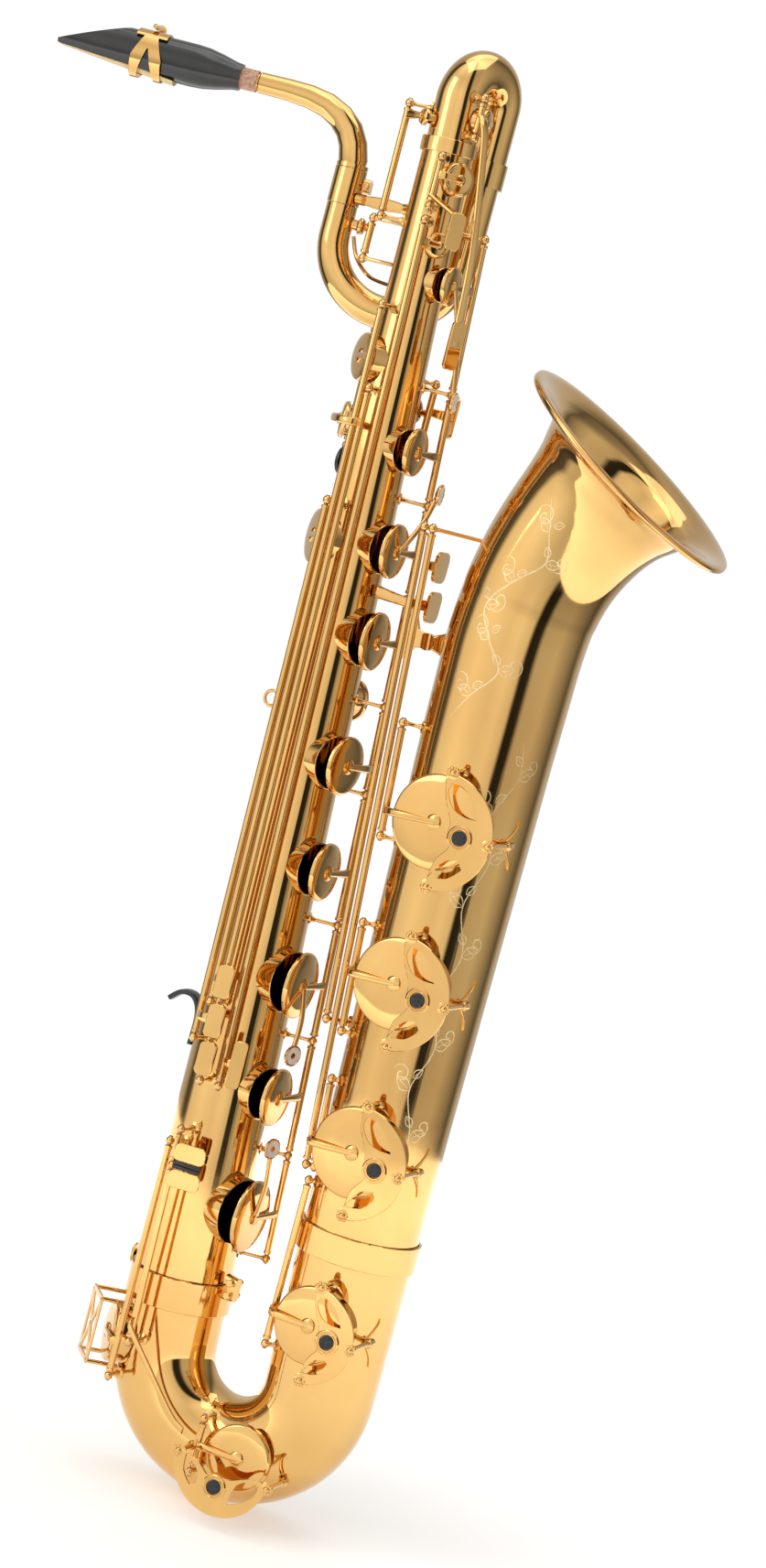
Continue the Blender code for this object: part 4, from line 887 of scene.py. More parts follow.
def fixed_hardware():
    """Receiver, braces, strap plate and ring, thumb hook and thumb rest."""
    base = at_height(RECEIVER, 0)
    collar_r = NECK_TENON_R + SEAT + RECEIVER_WALL
    collar = ring(base, UP, NECK_TENON_R + SEAT, collar_r, *RECEIVER_Z)
    lug_at = base - LOOP_WAY * (collar_r + 2.7) + UP * (RECEIVER_Z[0] + 16)
    lug = bar([lug_at - LOOP_WAY * 2.5, lug_at + LOOP_WAY * 3], UP, [10, 10], 7)
    hole_r = 2.0
    hole = rod(lug_at - LOOP_SIDE * 9, lug_at + LOOP_SIDE * 9, hole_r, 12)
    make("neck_receiver", merge(merge(collar, [lug]), [hole], "DIFFERENCE"))
    shank = rod(lug_at - LOOP_SIDE * 7, lug_at + LOOP_SIDE * 8, hole_r - SEAT, 12)
    wing = bar([lug_at + LOOP_SIDE * 6, lug_at + LOOP_SIDE * 15], UP, [6, 9], 2.4)
    make("receiver_screw", merge(shank, [wing]))

    height = RECEIVER_Z[0] + 6
    run = (at_height(body_axis(height), 0) - base).normalized()
    left = base + run * (collar_r + 3 * SEAT) + UP * height
    right = body_axis(height) - run * (body_r(height) + 3 * SEAT)
    strip = bar([left, (left + right) / 2, right], UP, [5, 9, 5], 2.6)
    knobs = [turned(left, run, [(4, 0), (4, 6)], 12), turned(right, -run, [(4, 0), (4, 6)], 12)]
    make("receiver_brace", merge(strip, knobs))

    stay_thick = 2.6
    outer = base - LOOP_WAY * (LOOP_END_R + stay_thick)
    low = RECEIVER_Z[0] - 50
    foot = around(low, -92, 4 * SEAT)
    stay = [outer + UP * (low + 30), outer + UP * (low + 16) - LOOP_WAY * 6]
    stay += [at_height(foot + (outer - foot) * 0.45, low + 5), foot + UP * 2]
    make("y_brace", bar(stay, LOOP_SIDE, [5, 6, 7, 8], stay_thick))

    y, eye_z, arm_z = -5, level(616), level(640)
    body_edge = body_axis(eye_z).x + body_r(eye_z) + 2 * SEAT
    bell_edge = bell_axis(eye_z).x - bell_r(eye_z) - 2 * SEAT
    eye_at = Vector((bell_edge - 11.4, y, eye_z))
    outline = [(-17, -18), (-8, -6), (-1, -5), (-1, 5), (-8, 7), (-17, arm_z - eye_z + 5)]
    web = plate([eye_at + Vector((x, 0, z)) for x, z in outline], PLAYER_RIGHT * 3)
    arm = bar([Vector((body_edge, y, arm_z)), Vector((eye_at.x - 15, y, arm_z - 2))], UP, [9, 6], 4)
    eye = turned(eye_at, PLAYER_RIGHT, [(6, -2.5), (6, 2.5)], 16)
    foot = bar([eye_at, Vector((bell_edge, y, eye_z + 1))], UP, [7, 16], 4)
    make("bell_brace", merge(web, [arm, eye, foot]))

    stand = SEAT + STRAP_PLATE / 2
    lower, upper = around(STRAP_POINT.z - 19, -90, stand), around(STRAP_POINT.z + 23, -90, stand)
    middle = (lower + upper) / 2
    outline = [lower, middle + PLAYER_RIGHT * 9, upper, middle - PLAYER_RIGHT * 9]
    make("strap_plate", plate(outline, Vector((STRAP_PLATE, 0, 0))))
    wheel = [STRAP_POINT + Vector((cos(t), 0, sin(t))) * RING_R for t in [tau * i / 16 for i in range(16)]]
    rings = []
    for point in wheel:
        way = (point - STRAP_POINT).normalized()
        rings.append(circle(point, way, PLAYER_RIGHT, RING_WIRE, 6))
    make("strap_ring", loft(rings, closed=True))

    hook_thick = 3.6
    stand = hook_thick / 2 + 2 * SEAT
    foot = around(level(294), -90, stand)
    hook = [foot, around(foot.z + 22, -90, stand), foot + Vector((-6, 0, 33)), foot + Vector((-16, 0, 34))]
    hook.append(foot + Vector((-25, 0, 27)))
    make("thumb_hook", bar(hook, PLAYER_RIGHT, [14, 13, 12, 12, 9], hook_thick), "black_plastic")
    rest = around(THUMB_REST_Z, -100, 0)
    make("thumb_rest", turned(rest, facing(-100), [(10.5, 1.0), (10.5, 3.4), (8, 4.6)], 16), "black_plastic")


# ---------------------------------------------------------------- neck and mouthpiece

REED_RUN = MOUTHPIECE_SPAN[1] - REED_BUTT
REED_STOCK = 30         # length of the reed's full-thickness stock


def reed_z(reach):
    """Height of the reed's underside."""
    return REED_BUTT_Z + (REED_TIP_Z - REED_BUTT_Z) * (reach - REED_BUTT) / REED_RUN


def reed_thick(reach):
    vamp = max(0, reach - REED_BUTT - REED_STOCK) / (REED_RUN - REED_STOCK)
    return REED_THICK + (REED_TIP_THICK - REED_THICK) * vamp


def neck():
    route = [(0, RECEIVER_Z[0] + 3), (0, RECEIVER_Z[1] + 0.5)]
    bend = [(0.5, 37.2), (3.4, 26.2), (8.5, 17), (17, 9.2), (28, 3.8), (42, 0.9), (58, 0)]
    bend.append((CORK_SPAN[0] - 2, 0))
    route += [(reach, NECK_AXIS_Z - drop) for reach, drop in bend]
    route += [(CORK_SPAN[0] - 1, NECK_AXIS_Z), (CORK_SPAN[1] + 1, NECK_AXIS_Z)]
    taper = [0, 0.07, 0.17, 0.3, 0.47, 0.67, 0.87, 1]
    radii = [NECK_TENON_R] * 2 + [NECK_BASE_R + (NECK_END_R - NECK_BASE_R) * share for share in taper]
    radii += [CORK_SEAT_R] * 2
    points = [neck_at(reach, z) for reach, z in route]
    outside, bore = bored(points, radii, 14)
    low = RECEIVER_Z[1] + SEAT
    collar = turned(at_height(RECEIVER, 0), UP, [(NECK_BASE_R + 1, low), (NECK_BASE_R + 1, low + 3)], 24)
    make("neck_tube", merge(merge(outside, [collar]), [bore], "DIFFERENCE"))
    axis_point = neck_at(0, NECK_AXIS_Z)
    cork = ring(axis_point, LOOP_WAY, CORK_SEAT_R + SEAT, CORK_R, *CORK_SPAN, 20)
    make("neck_cork", cork, "cork")


def mouthpiece():
    """Mouthpiece, reed, ligature and its screw."""
    start, tip = MOUTHPIECE_SPAN
    axis_point = neck_at(0, NECK_AXIS_Z)
    r = MOUTHPIECE_R
    shank = CORK_R + 1.7
    profile = [(0, 0), (0.09, 5), (0.57, 16), (0.9, 26), (1, 35), (1, 60)]
    outline = [(shank + (r - shank) * share, start + reach) for share, reach in profile]
    outline += [(r - 0.2, start + 85), (r - 1.4, start + 107), (r - 3.4, tip)]
    blank = turned(axis_point, LOOP_WAY, outline, 28)
    top = NECK_AXIS_Z + r
    table_z = reed_z(REED_BUTT) + REED_THICK + SEAT
    tip_z = reed_z(tip) + REED_TIP_THICK + SEAT
    stock_end = REED_BUTT + REED_STOCK
    side_view = [(start - 1, top + 9), (start + 84, top), (tip + 1, tip_z + 2.3), (tip + 1, tip_z)]
    side_view += [(stock_end, reed_z(stock_end) + REED_THICK + SEAT), (REED_BUTT, table_z)]
    side_view += [(REED_BUTT, top - 2 * r - 9), (start - 1, top - 2 * r - 9)]
    wedge = plate([neck_at(reach, z) for reach, z in side_view], LOOP_SIDE * 50)
    body = merge(blank, [wedge], "INTERSECT")
    bore_r = CORK_R + SEAT
    bore = turned(axis_point, LOOP_WAY, [(bore_r, start - 1), (bore_r, start + 93)], 20)
    floor = NECK_AXIS_Z - 24
    roof = [(start + 89, NECK_AXIS_Z + 7.4), (tip - 6, tip_z + 3.2), (tip - 6, floor), (start + 89, floor)]
    window = plate([neck_at(reach, z) for reach, z in roof], LOOP_SIDE * 11)
    make("mouthpiece", merge(body, [bore, window], "DIFFERENCE"), "ebonite")

    half = REED_WIDTH / 2 - 0.5
    rings = []
    for reach in (REED_BUTT + 0.5, stock_end, tip - 30, tip - 12, tip - 0.5):
        low, thick = reed_z(reach), reed_thick(reach)
        section = [(-half, thick), (half, thick), (half, thick * 0.8), (half / 2, thick * 0.2), (0, 0)]
        section += [(-half / 2, thick * 0.2), (-half, thick * 0.8)]
        rings.append([neck_at(reach, low + up, aside) for aside, up in section])
    make("reed", loft(rings), "cane")

    band_axis = neck_at(0, NECK_AXIS_Z - LIGATURE_DROP)
    band = ring(band_axis, LOOP_WAY, LIGATURE_R, LIGATURE_R + 1, *LIGATURE_SPAN, 28)
    start_reach, end_reach = LIGATURE_SPAN
    middle_reach, level_z = (start_reach + end_reach) / 2, NECK_AXIS_Z - LIGATURE_DROP
    windows = []
    legs = [(start_reach + 5, -18), (end_reach - 5, -18), (middle_reach + 0.5, 3), (middle_reach - 0.5, 3)]
    before = [(start_reach - 2, -9), (start_reach - 2, 12), (middle_reach - 5, 12)]
    after = [(end_reach + 2, -9), (end_reach + 2, 12), (middle_reach + 5, 12)]
    for spots in (legs, before, after):
        windows.append(plate([neck_at(reach, level_z + z) for reach, z in spots], LOOP_SIDE * 60))
    make("ligature", merge(band, windows, "DIFFERENCE"))
    low = NECK_AXIS_Z - LIGATURE_DROP + LIGATURE_R + 1 + SEAT
    middle = neck_at(sum(LIGATURE_SPAN) / 2, low + 2.2)
    shaft = rod(middle - LOOP_SIDE * 9, middle + LOOP_SIDE * 11, 1.9)
    head = turned(middle + LOOP_SIDE * 11, LOOP_SIDE, [(3.4, 0), (3.4, 3)], 10)
    make("ligature_screw", merge(shaft, [head]))


# ---------------------------------------------------------------- guards

# A guard's outline over a pad cup of GUARD_CUP_R: right and up of the cup's middle.
GUARD_CUP_R = 33
GUARD_MIDDLE = (2.5, -5)
GUARD_R = 41
GUARD_INNER = [(2.5, -46), (5, -36), (7, -24), (14, -13), (11, -7), (10.4, 4), (3.4, 18), (0, 31)]
GUARD_LEAVES = [[(5, 29.6), (4, 22), (11, 12.4), (20.5, 9.2), (29, 9.4), (23.5, 20), (14, 28.4)]]
GUARD_LEAVES.append([(5, -36.3), (8.7, -30.2), (14.4, -22.6), (23.3, -19.8), (27.3, -25.6), (18.3, -34)])
GUARD_BUTTON = (20.5, -5)
GUARD_FEET = [(4, 36.6), (6, -43)]
GUARD_THICK = 1.6


def guard_frame(centre, scale, turn):
    """A function from a guard's own outline to the plane over its pad cup."""
    across = Vector((cos(radians(turn)), 0, sin(radians(turn))))
    up = Vector((-sin(radians(turn)), 0, cos(radians(turn))))
    return lambda u, v: centre + (across * u + up * v) * scale


def guard(name, place, feet):
    """A crescent guard with two leaf-shaped windows, a felt bushing and ornamented feet."""
    way = PLAYER_RIGHT
    rim = [(GUARD_MIDDLE[0] + GUARD_R * cos(radians(t)), GUARD_MIDDLE[1] + GUARD_R * sin(radians(t)))
           for t in range(88, -89, -4)]
    inside = smooth_path([Vector((u, v, 0)) for u, v in GUARD_INNER], 5)
    outline = [place(u, v) for u, v in rim + [(p.x, p.y) for p in inside]]
    body = plate(outline, way * GUARD_THICK)
    leaves = []
    for leaf in GUARD_LEAVES:
        first = smooth_path([Vector((u, v, 0)) for u, v in leaf[:4]], 5)
        second = smooth_path([Vector((u, v, 0)) for u, v in leaf[4:] + leaf[:1]], 5)
        edge = [place(p.x, p.y) for p in first + second[:-1]]
        leaves.append(loft([[p - way * 3 for p in edge], [p + way * 3 for p in edge]]))
    parts = [merge(body, leaves, "DIFFERENCE")]
    button = place(*GUARD_BUTTON)
    socket = [(8.6, -0.6), (8.9, -0.2), (8.9, 1.5), (8.2, 2.0), (7.4, 2.0), (7.0, 1.5), (6.6, 1.5)]
    socket += [(6.2, 1.9), (5.6, 1.9), (5.2, 1.2), (0.1, 1.2)]
    parts.append(turned(button, way, socket, 14))
    felt_top = [(5.0, 1.0), (5.0, 1.7), (4.5, 2.0), (0.1, 2.0)]
    show(name + "_bushing", turned(button, way, felt_top, 12), "felt", name)
    # painted shade: a black bar across the button stands for the dark of a screw's slot
    slot_middle = button + way * 1.75
    slot_shade_bar = bar([slot_middle + UP * 4, slot_middle - UP * 4], way.cross(UP), [1.0, 1.0], 0.7)
    show(name + "_screw_slot", slot_shade_bar, "black_plastic", name)
    centre = place(0, 0)
    for top, below in feet:
        length = (below - top).length
        stem = [(2.9, -0.7), (3.1, 0.2), (2.0, 1.6), (1.7, length * 0.5), (2.0, length - 3)]
        stem += [(3.4, length - 1.4), (3.6, length - 0.4), (3.0, length)]
        parts.append(turned(top, (below - top).normalized(), stem, 6))
        parts.append(sphere(top + way * 1.0, way, 2.4, 5))
        out = top - centre
        out -= way * out.dot(way)
        out = out.normalized()
        side = way.cross(out)
        for turn, reach, size in ((-62, 5.2, 1.7), (-28, 6.4, 1.5), (28, 6.4, 1.5), (62, 5.2, 1.7)):
            frill = top - out * 1.0 + (out * cos(radians(turn)) + side * sin(radians(turn))) * reach * 0.62
            parts.append(sphere(frill + way * 0.2, way, size, 4))
        parts.append(turned(top - out * 0.6, way, [(4.4, -0.6), (4.7, -0.2), (4.7, 0.5), (3.6, 1.0)], 8))
    make(name, joined(parts))


def boss(tube, base, side, way, aside, tube_r):
    """A flat-topped boss for a guard's foot, on a round tube whose middle is at base. Returns the
    place just clear of its face, which stands square to way."""
    middle = base + side * aside
    crest = sqrt(tube_r ** 2 - max(abs(aside) - BOSS_R, 0) ** 2) + BOSS_RISE
    root = sqrt(tube_r ** 2 - aside ** 2) - BOSS_ROOT
    tube.adds.append(rod(middle + way * crest, middle + way * root, BOSS_R, 8))
    return middle + way * (crest + SEAT)


def bell_guards():
    east = Vector((1, 0, 0))
    for name, z, r in BELL_CUPS:
        tube = BELL if z > BELL_BEND_Z else BOW
        scale = r / GUARD_CUP_R
        centre = bell_axis(z) + PLAYER_RIGHT * (bell_r(z) + CHIMNEY + GUARD_STAND)
        place = guard_frame(centre, scale, 0)
        side_foot = (min(GUARD_R + 0.5, (bell_r(z) - 5) / scale), -5)
        feet = []
        for spot in GUARD_FEET + [side_foot]:
            top = place(*spot)
            base = bell_axis(top.z)
            feet.append((top, boss(tube, base, east, PLAYER_RIGHT, top.x - base.x, bell_r(top.z))))
        guard(name + "_guard", place, feet)


def bow_guards():
    """The guards over the two pad cups on the bow."""
    centre = E_FLAT_SEAT + PLAYER_RIGHT * E_FLAT_GUARD_STAND + Vector((0.8, 0, -2))
    place = guard_frame(centre, E_FLAT_GUARD_SCALE, -95)
    feet = []
    for spot in GUARD_FEET:
        top = place(*spot)
        out = at_height(top, top.z) - BOW_CENTRE
        out.y = 0
        side = out.normalized()
        bearing = degrees(atan2(-side.z, -side.x))
        aside = out.length - BOW_BEND_R
        feet.append((top, boss(BOW, bow_point(bearing), side, PLAYER_RIGHT, aside, bow_r(bearing))))
    guard("e_flat_guard", place, feet)

    seat, way = C_SHARP_SEAT, facing(C_SHARP_TURN)
    side = UP.cross(way)
    stand = 18
    far = seat + way * stand
    corners = [far + side * a + UP * b for a, b in ((-17, 25), (15, 25), (15, -21), (-17, -21))]
    frame = bar([corners[0], corners[2]], way, [1.6, 1.6], 4.5)
    edges = [bar([a, b], way, [1.6, 1.6], 4.5) for a, b in zip(corners, corners[1:] + corners[:1])]
    edges.append(bar([corners[1], corners[3]], way, [1.6, 1.6], 4.5))
    for corner in corners:
        aside = (corner - seat).dot(side)
        base = seat - way * (bow_r(0) + CHIMNEY)
        face = boss(BOW, at_height(base, corner.z), side, way, aside, bow_r(0))
        edges.append(rod(corner, face, 1.6, 6))
    make("c_sharp_guard", merge(frame, edges))


# ---------------------------------------------------------------- keys by name

BELL_CUPS = [("low_a", 503, 33), ("low_b_flat", 388.5, 32), ("low_b", 267.5, 32), ("low_c", 142.5, 27.5)]
GUARD_STAND = 17.5
E_FLAT_GUARD_STAND = 19.5
E_FLAT_GUARD_SCALE = 0.88
E_FLAT_TURN = 119.5
E_FLAT_SEAT = bow_point(E_FLAT_TURN) + PLAYER_RIGHT * (bow_r(E_FLAT_TURN) + CHIMNEY)
C_SHARP_TURN = -55
C_SHARP_SEAT = body_axis(84) + facing(C_SHARP_TURN) * (bow_r(0) + CHIMNEY)


def beside_bell(z):
    """A rod's place beside the bell tube, in front of its left side."""
    way = Vector((-cos(radians(BELL_ROD_TURN)), -sin(radians(BELL_ROD_TURN)), 0))
    return bell_axis(z) + way * (bell_r(z) + BELL_ROD_STAND)


def beside_bell_foot(z):
    """The low C key's upright rod line, where the bell tube meets the bow."""
    return at_height(beside_bell(BELL_BEND_Z) + Vector((3.6, 0, 0)), z)


def bell_line(aside):
    """A rod line between body and bell, leaning from the pinky table down to the low keys."""
    foot = beside_bell(237)
    head = Vector((foot.x - 30.6, foot.y, 697))
    lean = (head - foot) / (head.z - foot.z)
    return lambda z: foot + Vector((aside, 0, 0)) + lean * (z - foot.z)


def body_line(turn, stand):
    return lambda z: around(z, turn, stand)


def beside(seat, way, aside, rise=2.5):
    """A level-facing rod line beside a pad cup."""
    place = seat + way * rise + UP.cross(way) * aside
    return lambda z: at_height(place, z)


def hole_under(cup_r):
    return cup_r - WALL - CHIMNEY_LIP


def body_hole(z, turn, cup_r):
    return BODY.chimney(around(z, turn, 0), facing(turn), body_r(z), hole_under(cup_r))


def bell_keys():
    """The low pads on the bell's right side, and the long rods that work them."""
    spans = {"low_a": (483, 556), "low_b_flat": (345, 415), "low_b": (248, 304), "low_c": (118, 231)}
    for name, z, r in BELL_CUPS:
        tube = BELL if z > BELL_BEND_Z else BOW
        crown = bell_axis(z) + PLAYER_RIGHT * bell_r(z)
        seat = tube.chimney(crown, PLAYER_RIGHT, bell_r(z), hole_under(r))
        bell_key = z > BELL_BEND_Z
        line = bell_line(BELL_ROD_PITCH) if bell_key else beside_bell_foot
        home = on_bell_near if bell_key else on_horn
        pad_key(name + "_key", line, spans[name], seat, PLAYER_RIGHT, r, BELL_OPENING, True, home)

    side = Vector((0, 1, 0))
    plans = [("low_b_lever", 0, 248, 668), ("low_b_flat_lever", -BELL_ROD_PITCH, 350, 640)]
    for name, aside, low, plate_z in plans:
        line = bell_line(aside)
        root = line(plate_z)
        table = root + Vector((3 - aside, 22, 0))
        finger = touch(table, -side.cross(UP), UP, 24, 22)
        stalk = bar([root, root + side * 8 + Vector((2, 0, 0)), table], UP, [6, 7, 8], 2.4)
        key(name, line(low), line(690), [finger, stalk], BELL_OPENING + 0.5, False, on_bell)


def bow_keys():
    """E flat and C sharp on the bow, and the little-finger levers beside them."""
    seat = BOW.chimney(E_FLAT_SEAT - PLAYER_RIGHT * CHIMNEY, PLAYER_RIGHT, bow_r(E_FLAT_TURN), hole_under(24))
    line = beside(seat, PLAYER_RIGHT, -31, 4)
    pad_key("e_flat_key", line, (18, 50), seat, PLAYER_RIGHT, 24, 12, False, on_horn)

    way = facing(C_SHARP_TURN)
    seat = BOW.chimney(C_SHARP_SEAT - way * CHIMNEY, way, bow_r(0), hole_under(22))
    pad_key("c_sharp_key", beside(seat, way, 27), (62, 229), seat, way, 22, 14, False, on_horn)

    line = body_line(-8, 18)
    low, high = line(92), line(level(214))
    finger_at = around(high.z - 3, 7, 26)
    finger = touch(finger_at, facing(7), UP, 23, 12.5)
    stalk = bar([line(finger_at.z), around(finger_at.z, -2, 25), finger_at], UP, [6, 7, 8], 2.4)
    front = -bow_r(90) - 18.3
    route = [line(104), around(100, -5, 25.5), BOW_CENTRE + Vector((-44, front - 2, -13))]
    route += [BOW_CENTRE + Vector((-22, front, -37)), BOW_CENTRE + Vector((-11, front, -44))]
    swing = bar(route, UP, [7, 6, 6, 5, 5], 2.6)
    key("e_flat_lever", low, high, [finger, stalk, swing], 8, False, on_horn)

    low = high + (high - low).normalized() * 2 * POST_GAP
    high = line(low.z + 19.2)
    finger_at = around(low.z + 9.2, 7, 26)
    finger = touch(finger_at, facing(7), UP, 23, 12.5)
    stalk = bar([line(finger_at.z), around(finger_at.z, -2, 25), finger_at], UP, [6, 7, 8], 2.4)
    key("low_c_lever", low, high, [finger, stalk], 8, False, on_horn, posts=(False, True))


def stack_keys():
    """The two stacks of open-standing keys on the side towards the bell."""
    line = body_line(STACK_HINGE, STACK_STAND)
    posts = [level(z) for z in (160, 236, 320, 404, 499, 562, 640, 706, 785, 895)]
    cups = [("d_key", 192.5, 26, 73), ("e_key", 278.5, 21, 73), ("f_key", 359.5, 24, 73)]
    cups += [("f_sharp_key", 441, 21, 73), ("g_key", 517, 21, 66), ("a_key", 606, 21, 73)]
    cups += [("b_key", 670, 19.5, 73), ("c_key", 740, 17, 73), ("high_vent_key", 857, 14, 73)]
    pearls = {"d_key": (246, 57, 20), "f_key": (313, 57, 20), "b_key": (716, 84, 28)}
    pearls["high_vent_key"] = (780, 82, 24)
    for (name, z, r, turn), low, high in zip(cups, posts, posts[1:]):
        seat, way = body_hole(level(z), turn, r), facing(turn)
        shapes, extras = [], []
        if name in pearls:
            height, bearing, stand = pearls[name]
            place = around(level(height), bearing, stand)
            top = seat + way * (CUP_HEIGHT + 1)
            arm = [top, (top + place) / 2 + way * 2, place - facing(bearing) * 1.5]
            shapes = [bar(arm, way.cross(UP), [6, 5, 5], 2.6), pearl_seat(place, facing(bearing))]
            shapes.append(turned(place, facing(bearing), [(2.6, -3.4), (2.6, -1.5), (6.5, -1.2)], 8))
            extras = [("pearl", pearl(place, facing(bearing)), "mother_of_pearl")]
        last = name == cups[-1][0]
        pad_key(name, line, (low + POST_GAP, high - POST_GAP), seat, way, r, 13, True, on_horn, shapes,
                extras=extras, posts=(True, last))


def side_keys():
    """Side trill keys and the high F sharp, on long rods down the player's right."""
    middle = -10
    pitch = degrees((ROD_R + BALL_R + SEAT / 2) / (body_r(level(690)) + SIDE_STAND))
    plans = [("side_high_e_key", 795.5, -46, 17, middle, 830, 28)]
    plans.append(("side_c_key", 667, -51, 19.5, middle - pitch, 690, 0))
    plans.append(("side_b_flat_key", 750, -68, 13, middle + pitch, 772, -27))
    for name, hole_z, turn, r, hinge_turn, top, rise in plans:
        line = body_line(hinge_turn, SIDE_STAND)
        z, finger_z = level(hole_z), level(325) + rise
        seat = body_hole(z, turn, r)
        finger_at = around(finger_z, 2, SIDE_STAND + 8.5)
        finger = touch(finger_at, facing(2), UP, 12.5, 24, 4)
        elbow = around(finger_z, hinge_turn / 2, SIDE_STAND + 7)
        stalk = bar([line(finger_z), elbow, finger_at], UP, [6, 7, 8], 2.8)
        via = []
        if turn < -60:
            via = [around(z, t, SIDE_STAND + lift) for t, lift in ((-8, 7), (-20, 7), (-36, 2))]
        span = (finger_z - 14, level(top))
        pad_key(name, line, span, seat, facing(turn), r, 14, False, on_horn, [finger, stalk], via)

    line = body_line(14, SIDE_STAND)
    seat = body_hole(level(882), 40, 9)
    finger_z = level(325) - 26
    finger_at = around(finger_z, 24, SIDE_STAND + 7)
    finger = touch(finger_at, facing(24), UP, 10, 34, 3)
    stalk = bar([line(finger_z), around(finger_z, 18, SIDE_STAND + 5.5), finger_at], UP, [6, 6, 7], 2.8)
    span = (finger_z - 15, level(893))
    pad_key("high_f_sharp_key", line, span, seat, facing(40), 9, 14, False, on_horn, [finger, stalk])


def palm_keys():
    """Three keys that the left palm opens, near the top of the body."""
    way = facing(50)
    seat = body_hole(BODY_TOP_Z - 18, 50, 12)
    line = beside(seat, way, -17)
    finger_at = around(seat.z - 36, 42, 30)
    finger = touch(finger_at, way, UP, 12, 26)
    stalk = bar([line(seat.z - 15), finger_at + UP * 10], UP.cross(way), [6, 8], 2.6)
    span = (seat.z - 19, seat.z + 9)
    pad_key("palm_d_key", line, span, seat, way, 12, 14, False, on_horn, [finger, stalk])

    way = facing(170)
    seat = body_hole(level(768), 170, 12)
    line = beside(seat, way, -17)
    finger_at = around(seat.z + 2, 128, 26)
    finger = touch(finger_at, facing(135), UP, 12, 30)
    stalk = bar([line(finger_at.z), around(finger_at.z, 138, 22), finger_at], UP, [6, 7, 8], 2.6)
    span = (seat.z - 18, seat.z + 18)
    pad_key("palm_e_flat_key", line, span, seat, way, 12, 14, False, on_horn, [finger, stalk])

    way = facing(90)
    crown = body_axis(level(972)) + way * TOP_BOW_R
    seat = TOP_BOW.chimney(crown, way, TOP_BOW_R, hole_under(10))
    line = beside(seat, way, -14.5)
    finger_at = around(level(818), 62, 33)
    finger = touch(finger_at, facing(62), UP, 12, 34)
    bends = [(968, 58, 17), (950, 60, 21), (880, 62, 31)]
    route = [line(seat.z + 4)] + [around(level(z), turn, stand) for z, turn, stand in bends] + [finger_at]
    lever = bar(route, UP.cross(facing(60)), [6, 6, 6, 6, 7], 2.8)
    span = (seat.z - 9, seat.z + 12)
    pad_key("palm_f_key", line, span, seat, way, 10, 12, False, on_horn, [finger, lever])


def octave_keys():
    """The thumb's octave lever and the two vents that it opens."""
    pip_r, cup_r = 2.6, 6
    line = body_line(-77, 16.8)
    way = facing(-48)
    seat = TOP_BOW.chimney(body_axis(level(966)) + way * TOP_BOW_R, way, TOP_BOW_R, pip_r)
    pad_key("octave_upper_key", line, (seat.z - 69, seat.z + 4), seat, way, cup_r, 12, False, on_horn)

    way = -LOOP_WAY
    crown = at_height(RECEIVER, RECEIVER_Z[0] - 12) + way * LOOP_END_R
    seat = LOOP.chimney(crown, way, LOOP_END_R, pip_r)
    line = beside(seat, way, -17, 12)
    pad_key("octave_lower_key", line, (seat.z - 18, seat.z + 4), seat, way, cup_r, 10, False, on_horn)

    line = body_line(-118, 12)
    finger_at = around(THUMB_REST_Z + 20, -140, 17)
    finger = touch(finger_at, facing(-140), UP, 15, 24)
    stalk = bar([line(finger_at.z), around(finger_at.z, -128, 16), finger_at], UP, [8, 9, 9], 2.6)
    low, high = line(finger_at.z - 6), line(finger_at.z + 70)
    key("octave_lever", low, high, [finger, stalk], 10, False, on_horn)


def far_keys():
    """G sharp and the low A thumb lever on the player's left."""
    way = facing(152)
    seat = body_hole(level(560), 152, 15)
    line = beside(seat, way, 20)
    finger_at = seat + way * 16 + UP.cross(way) * 34 + UP * 14
    finger = touch(finger_at, way, UP, 16, 24)
    stalk = bar([line(finger_at.z), finger_at], UP, [6, 8], 2.6)
    span = (seat.z - 15, seat.z + 26)
    pad_key("g_sharp_key", line, span, seat, way, 15, 13, False, on_horn, [finger, stalk])

    line = body_line(-152, 14)
    finger_at = around(level(672), -134, 21)
    finger = touch(finger_at, facing(-134), UP, 14, 24)
    elbow = around(finger_at.z - 2, -143, 18)
    stalk = bar([line(finger_at.z - 4), elbow, finger_at], UP, [6, 7, 8], 2.6)
    key("low_a_lever", line(level(480)), line(finger_at.z + 4), [finger, stalk], 8, False, on_horn)


bell_keys()
bow_keys()
stack_keys()
side_keys()
palm_keys()
octave_keys()
far_keys()
bell_guards()
bow_guards()
for tube in (BODY, BOW, BELL, TOP_BOW, LOOP):
    tube.build()
fixed_rings()
fixed_hardware()
neck()
mouthpiece()


# ---------------------------------------------------------------- engraving


def bell_surface():
    """Rows of the bell's outside: distance down the centreline, middle, radius and level frame."""
    points, radii, _ = bell_rows()
    rows, run = [], 0.0
    for i, point in enumerate(points):
        run += (point - points[i - 1]).length if i else 0
        rows.append((run, point, radii[i]))
    return rows


ROWS = bell_surface()


def on_surface(along, turn):
    """A point on the bell's outside: how far along from the bell ferrule, and degrees from the right."""
    for (s0, p0, r0), (s1, p1, r1) in zip(ROWS, ROWS[1:]):
        if along <= s1:
            t = (along - s0) / (s1 - s0)
            middle, r, way = p0.lerp(p1, t), r0 + (r1 - r0) * t, (p1 - p0).normalized()
            east = PLAYER_RIGHT.cross(way).normalized()
            east = east if east.x > 0 else -east
            out = PLAYER_RIGHT * cos(radians(turn)) + east * sin(radians(turn))
            return middle + out * (r + 0.06), out
    return on_surface(ROWS[-1][0] - 0.01, turn)


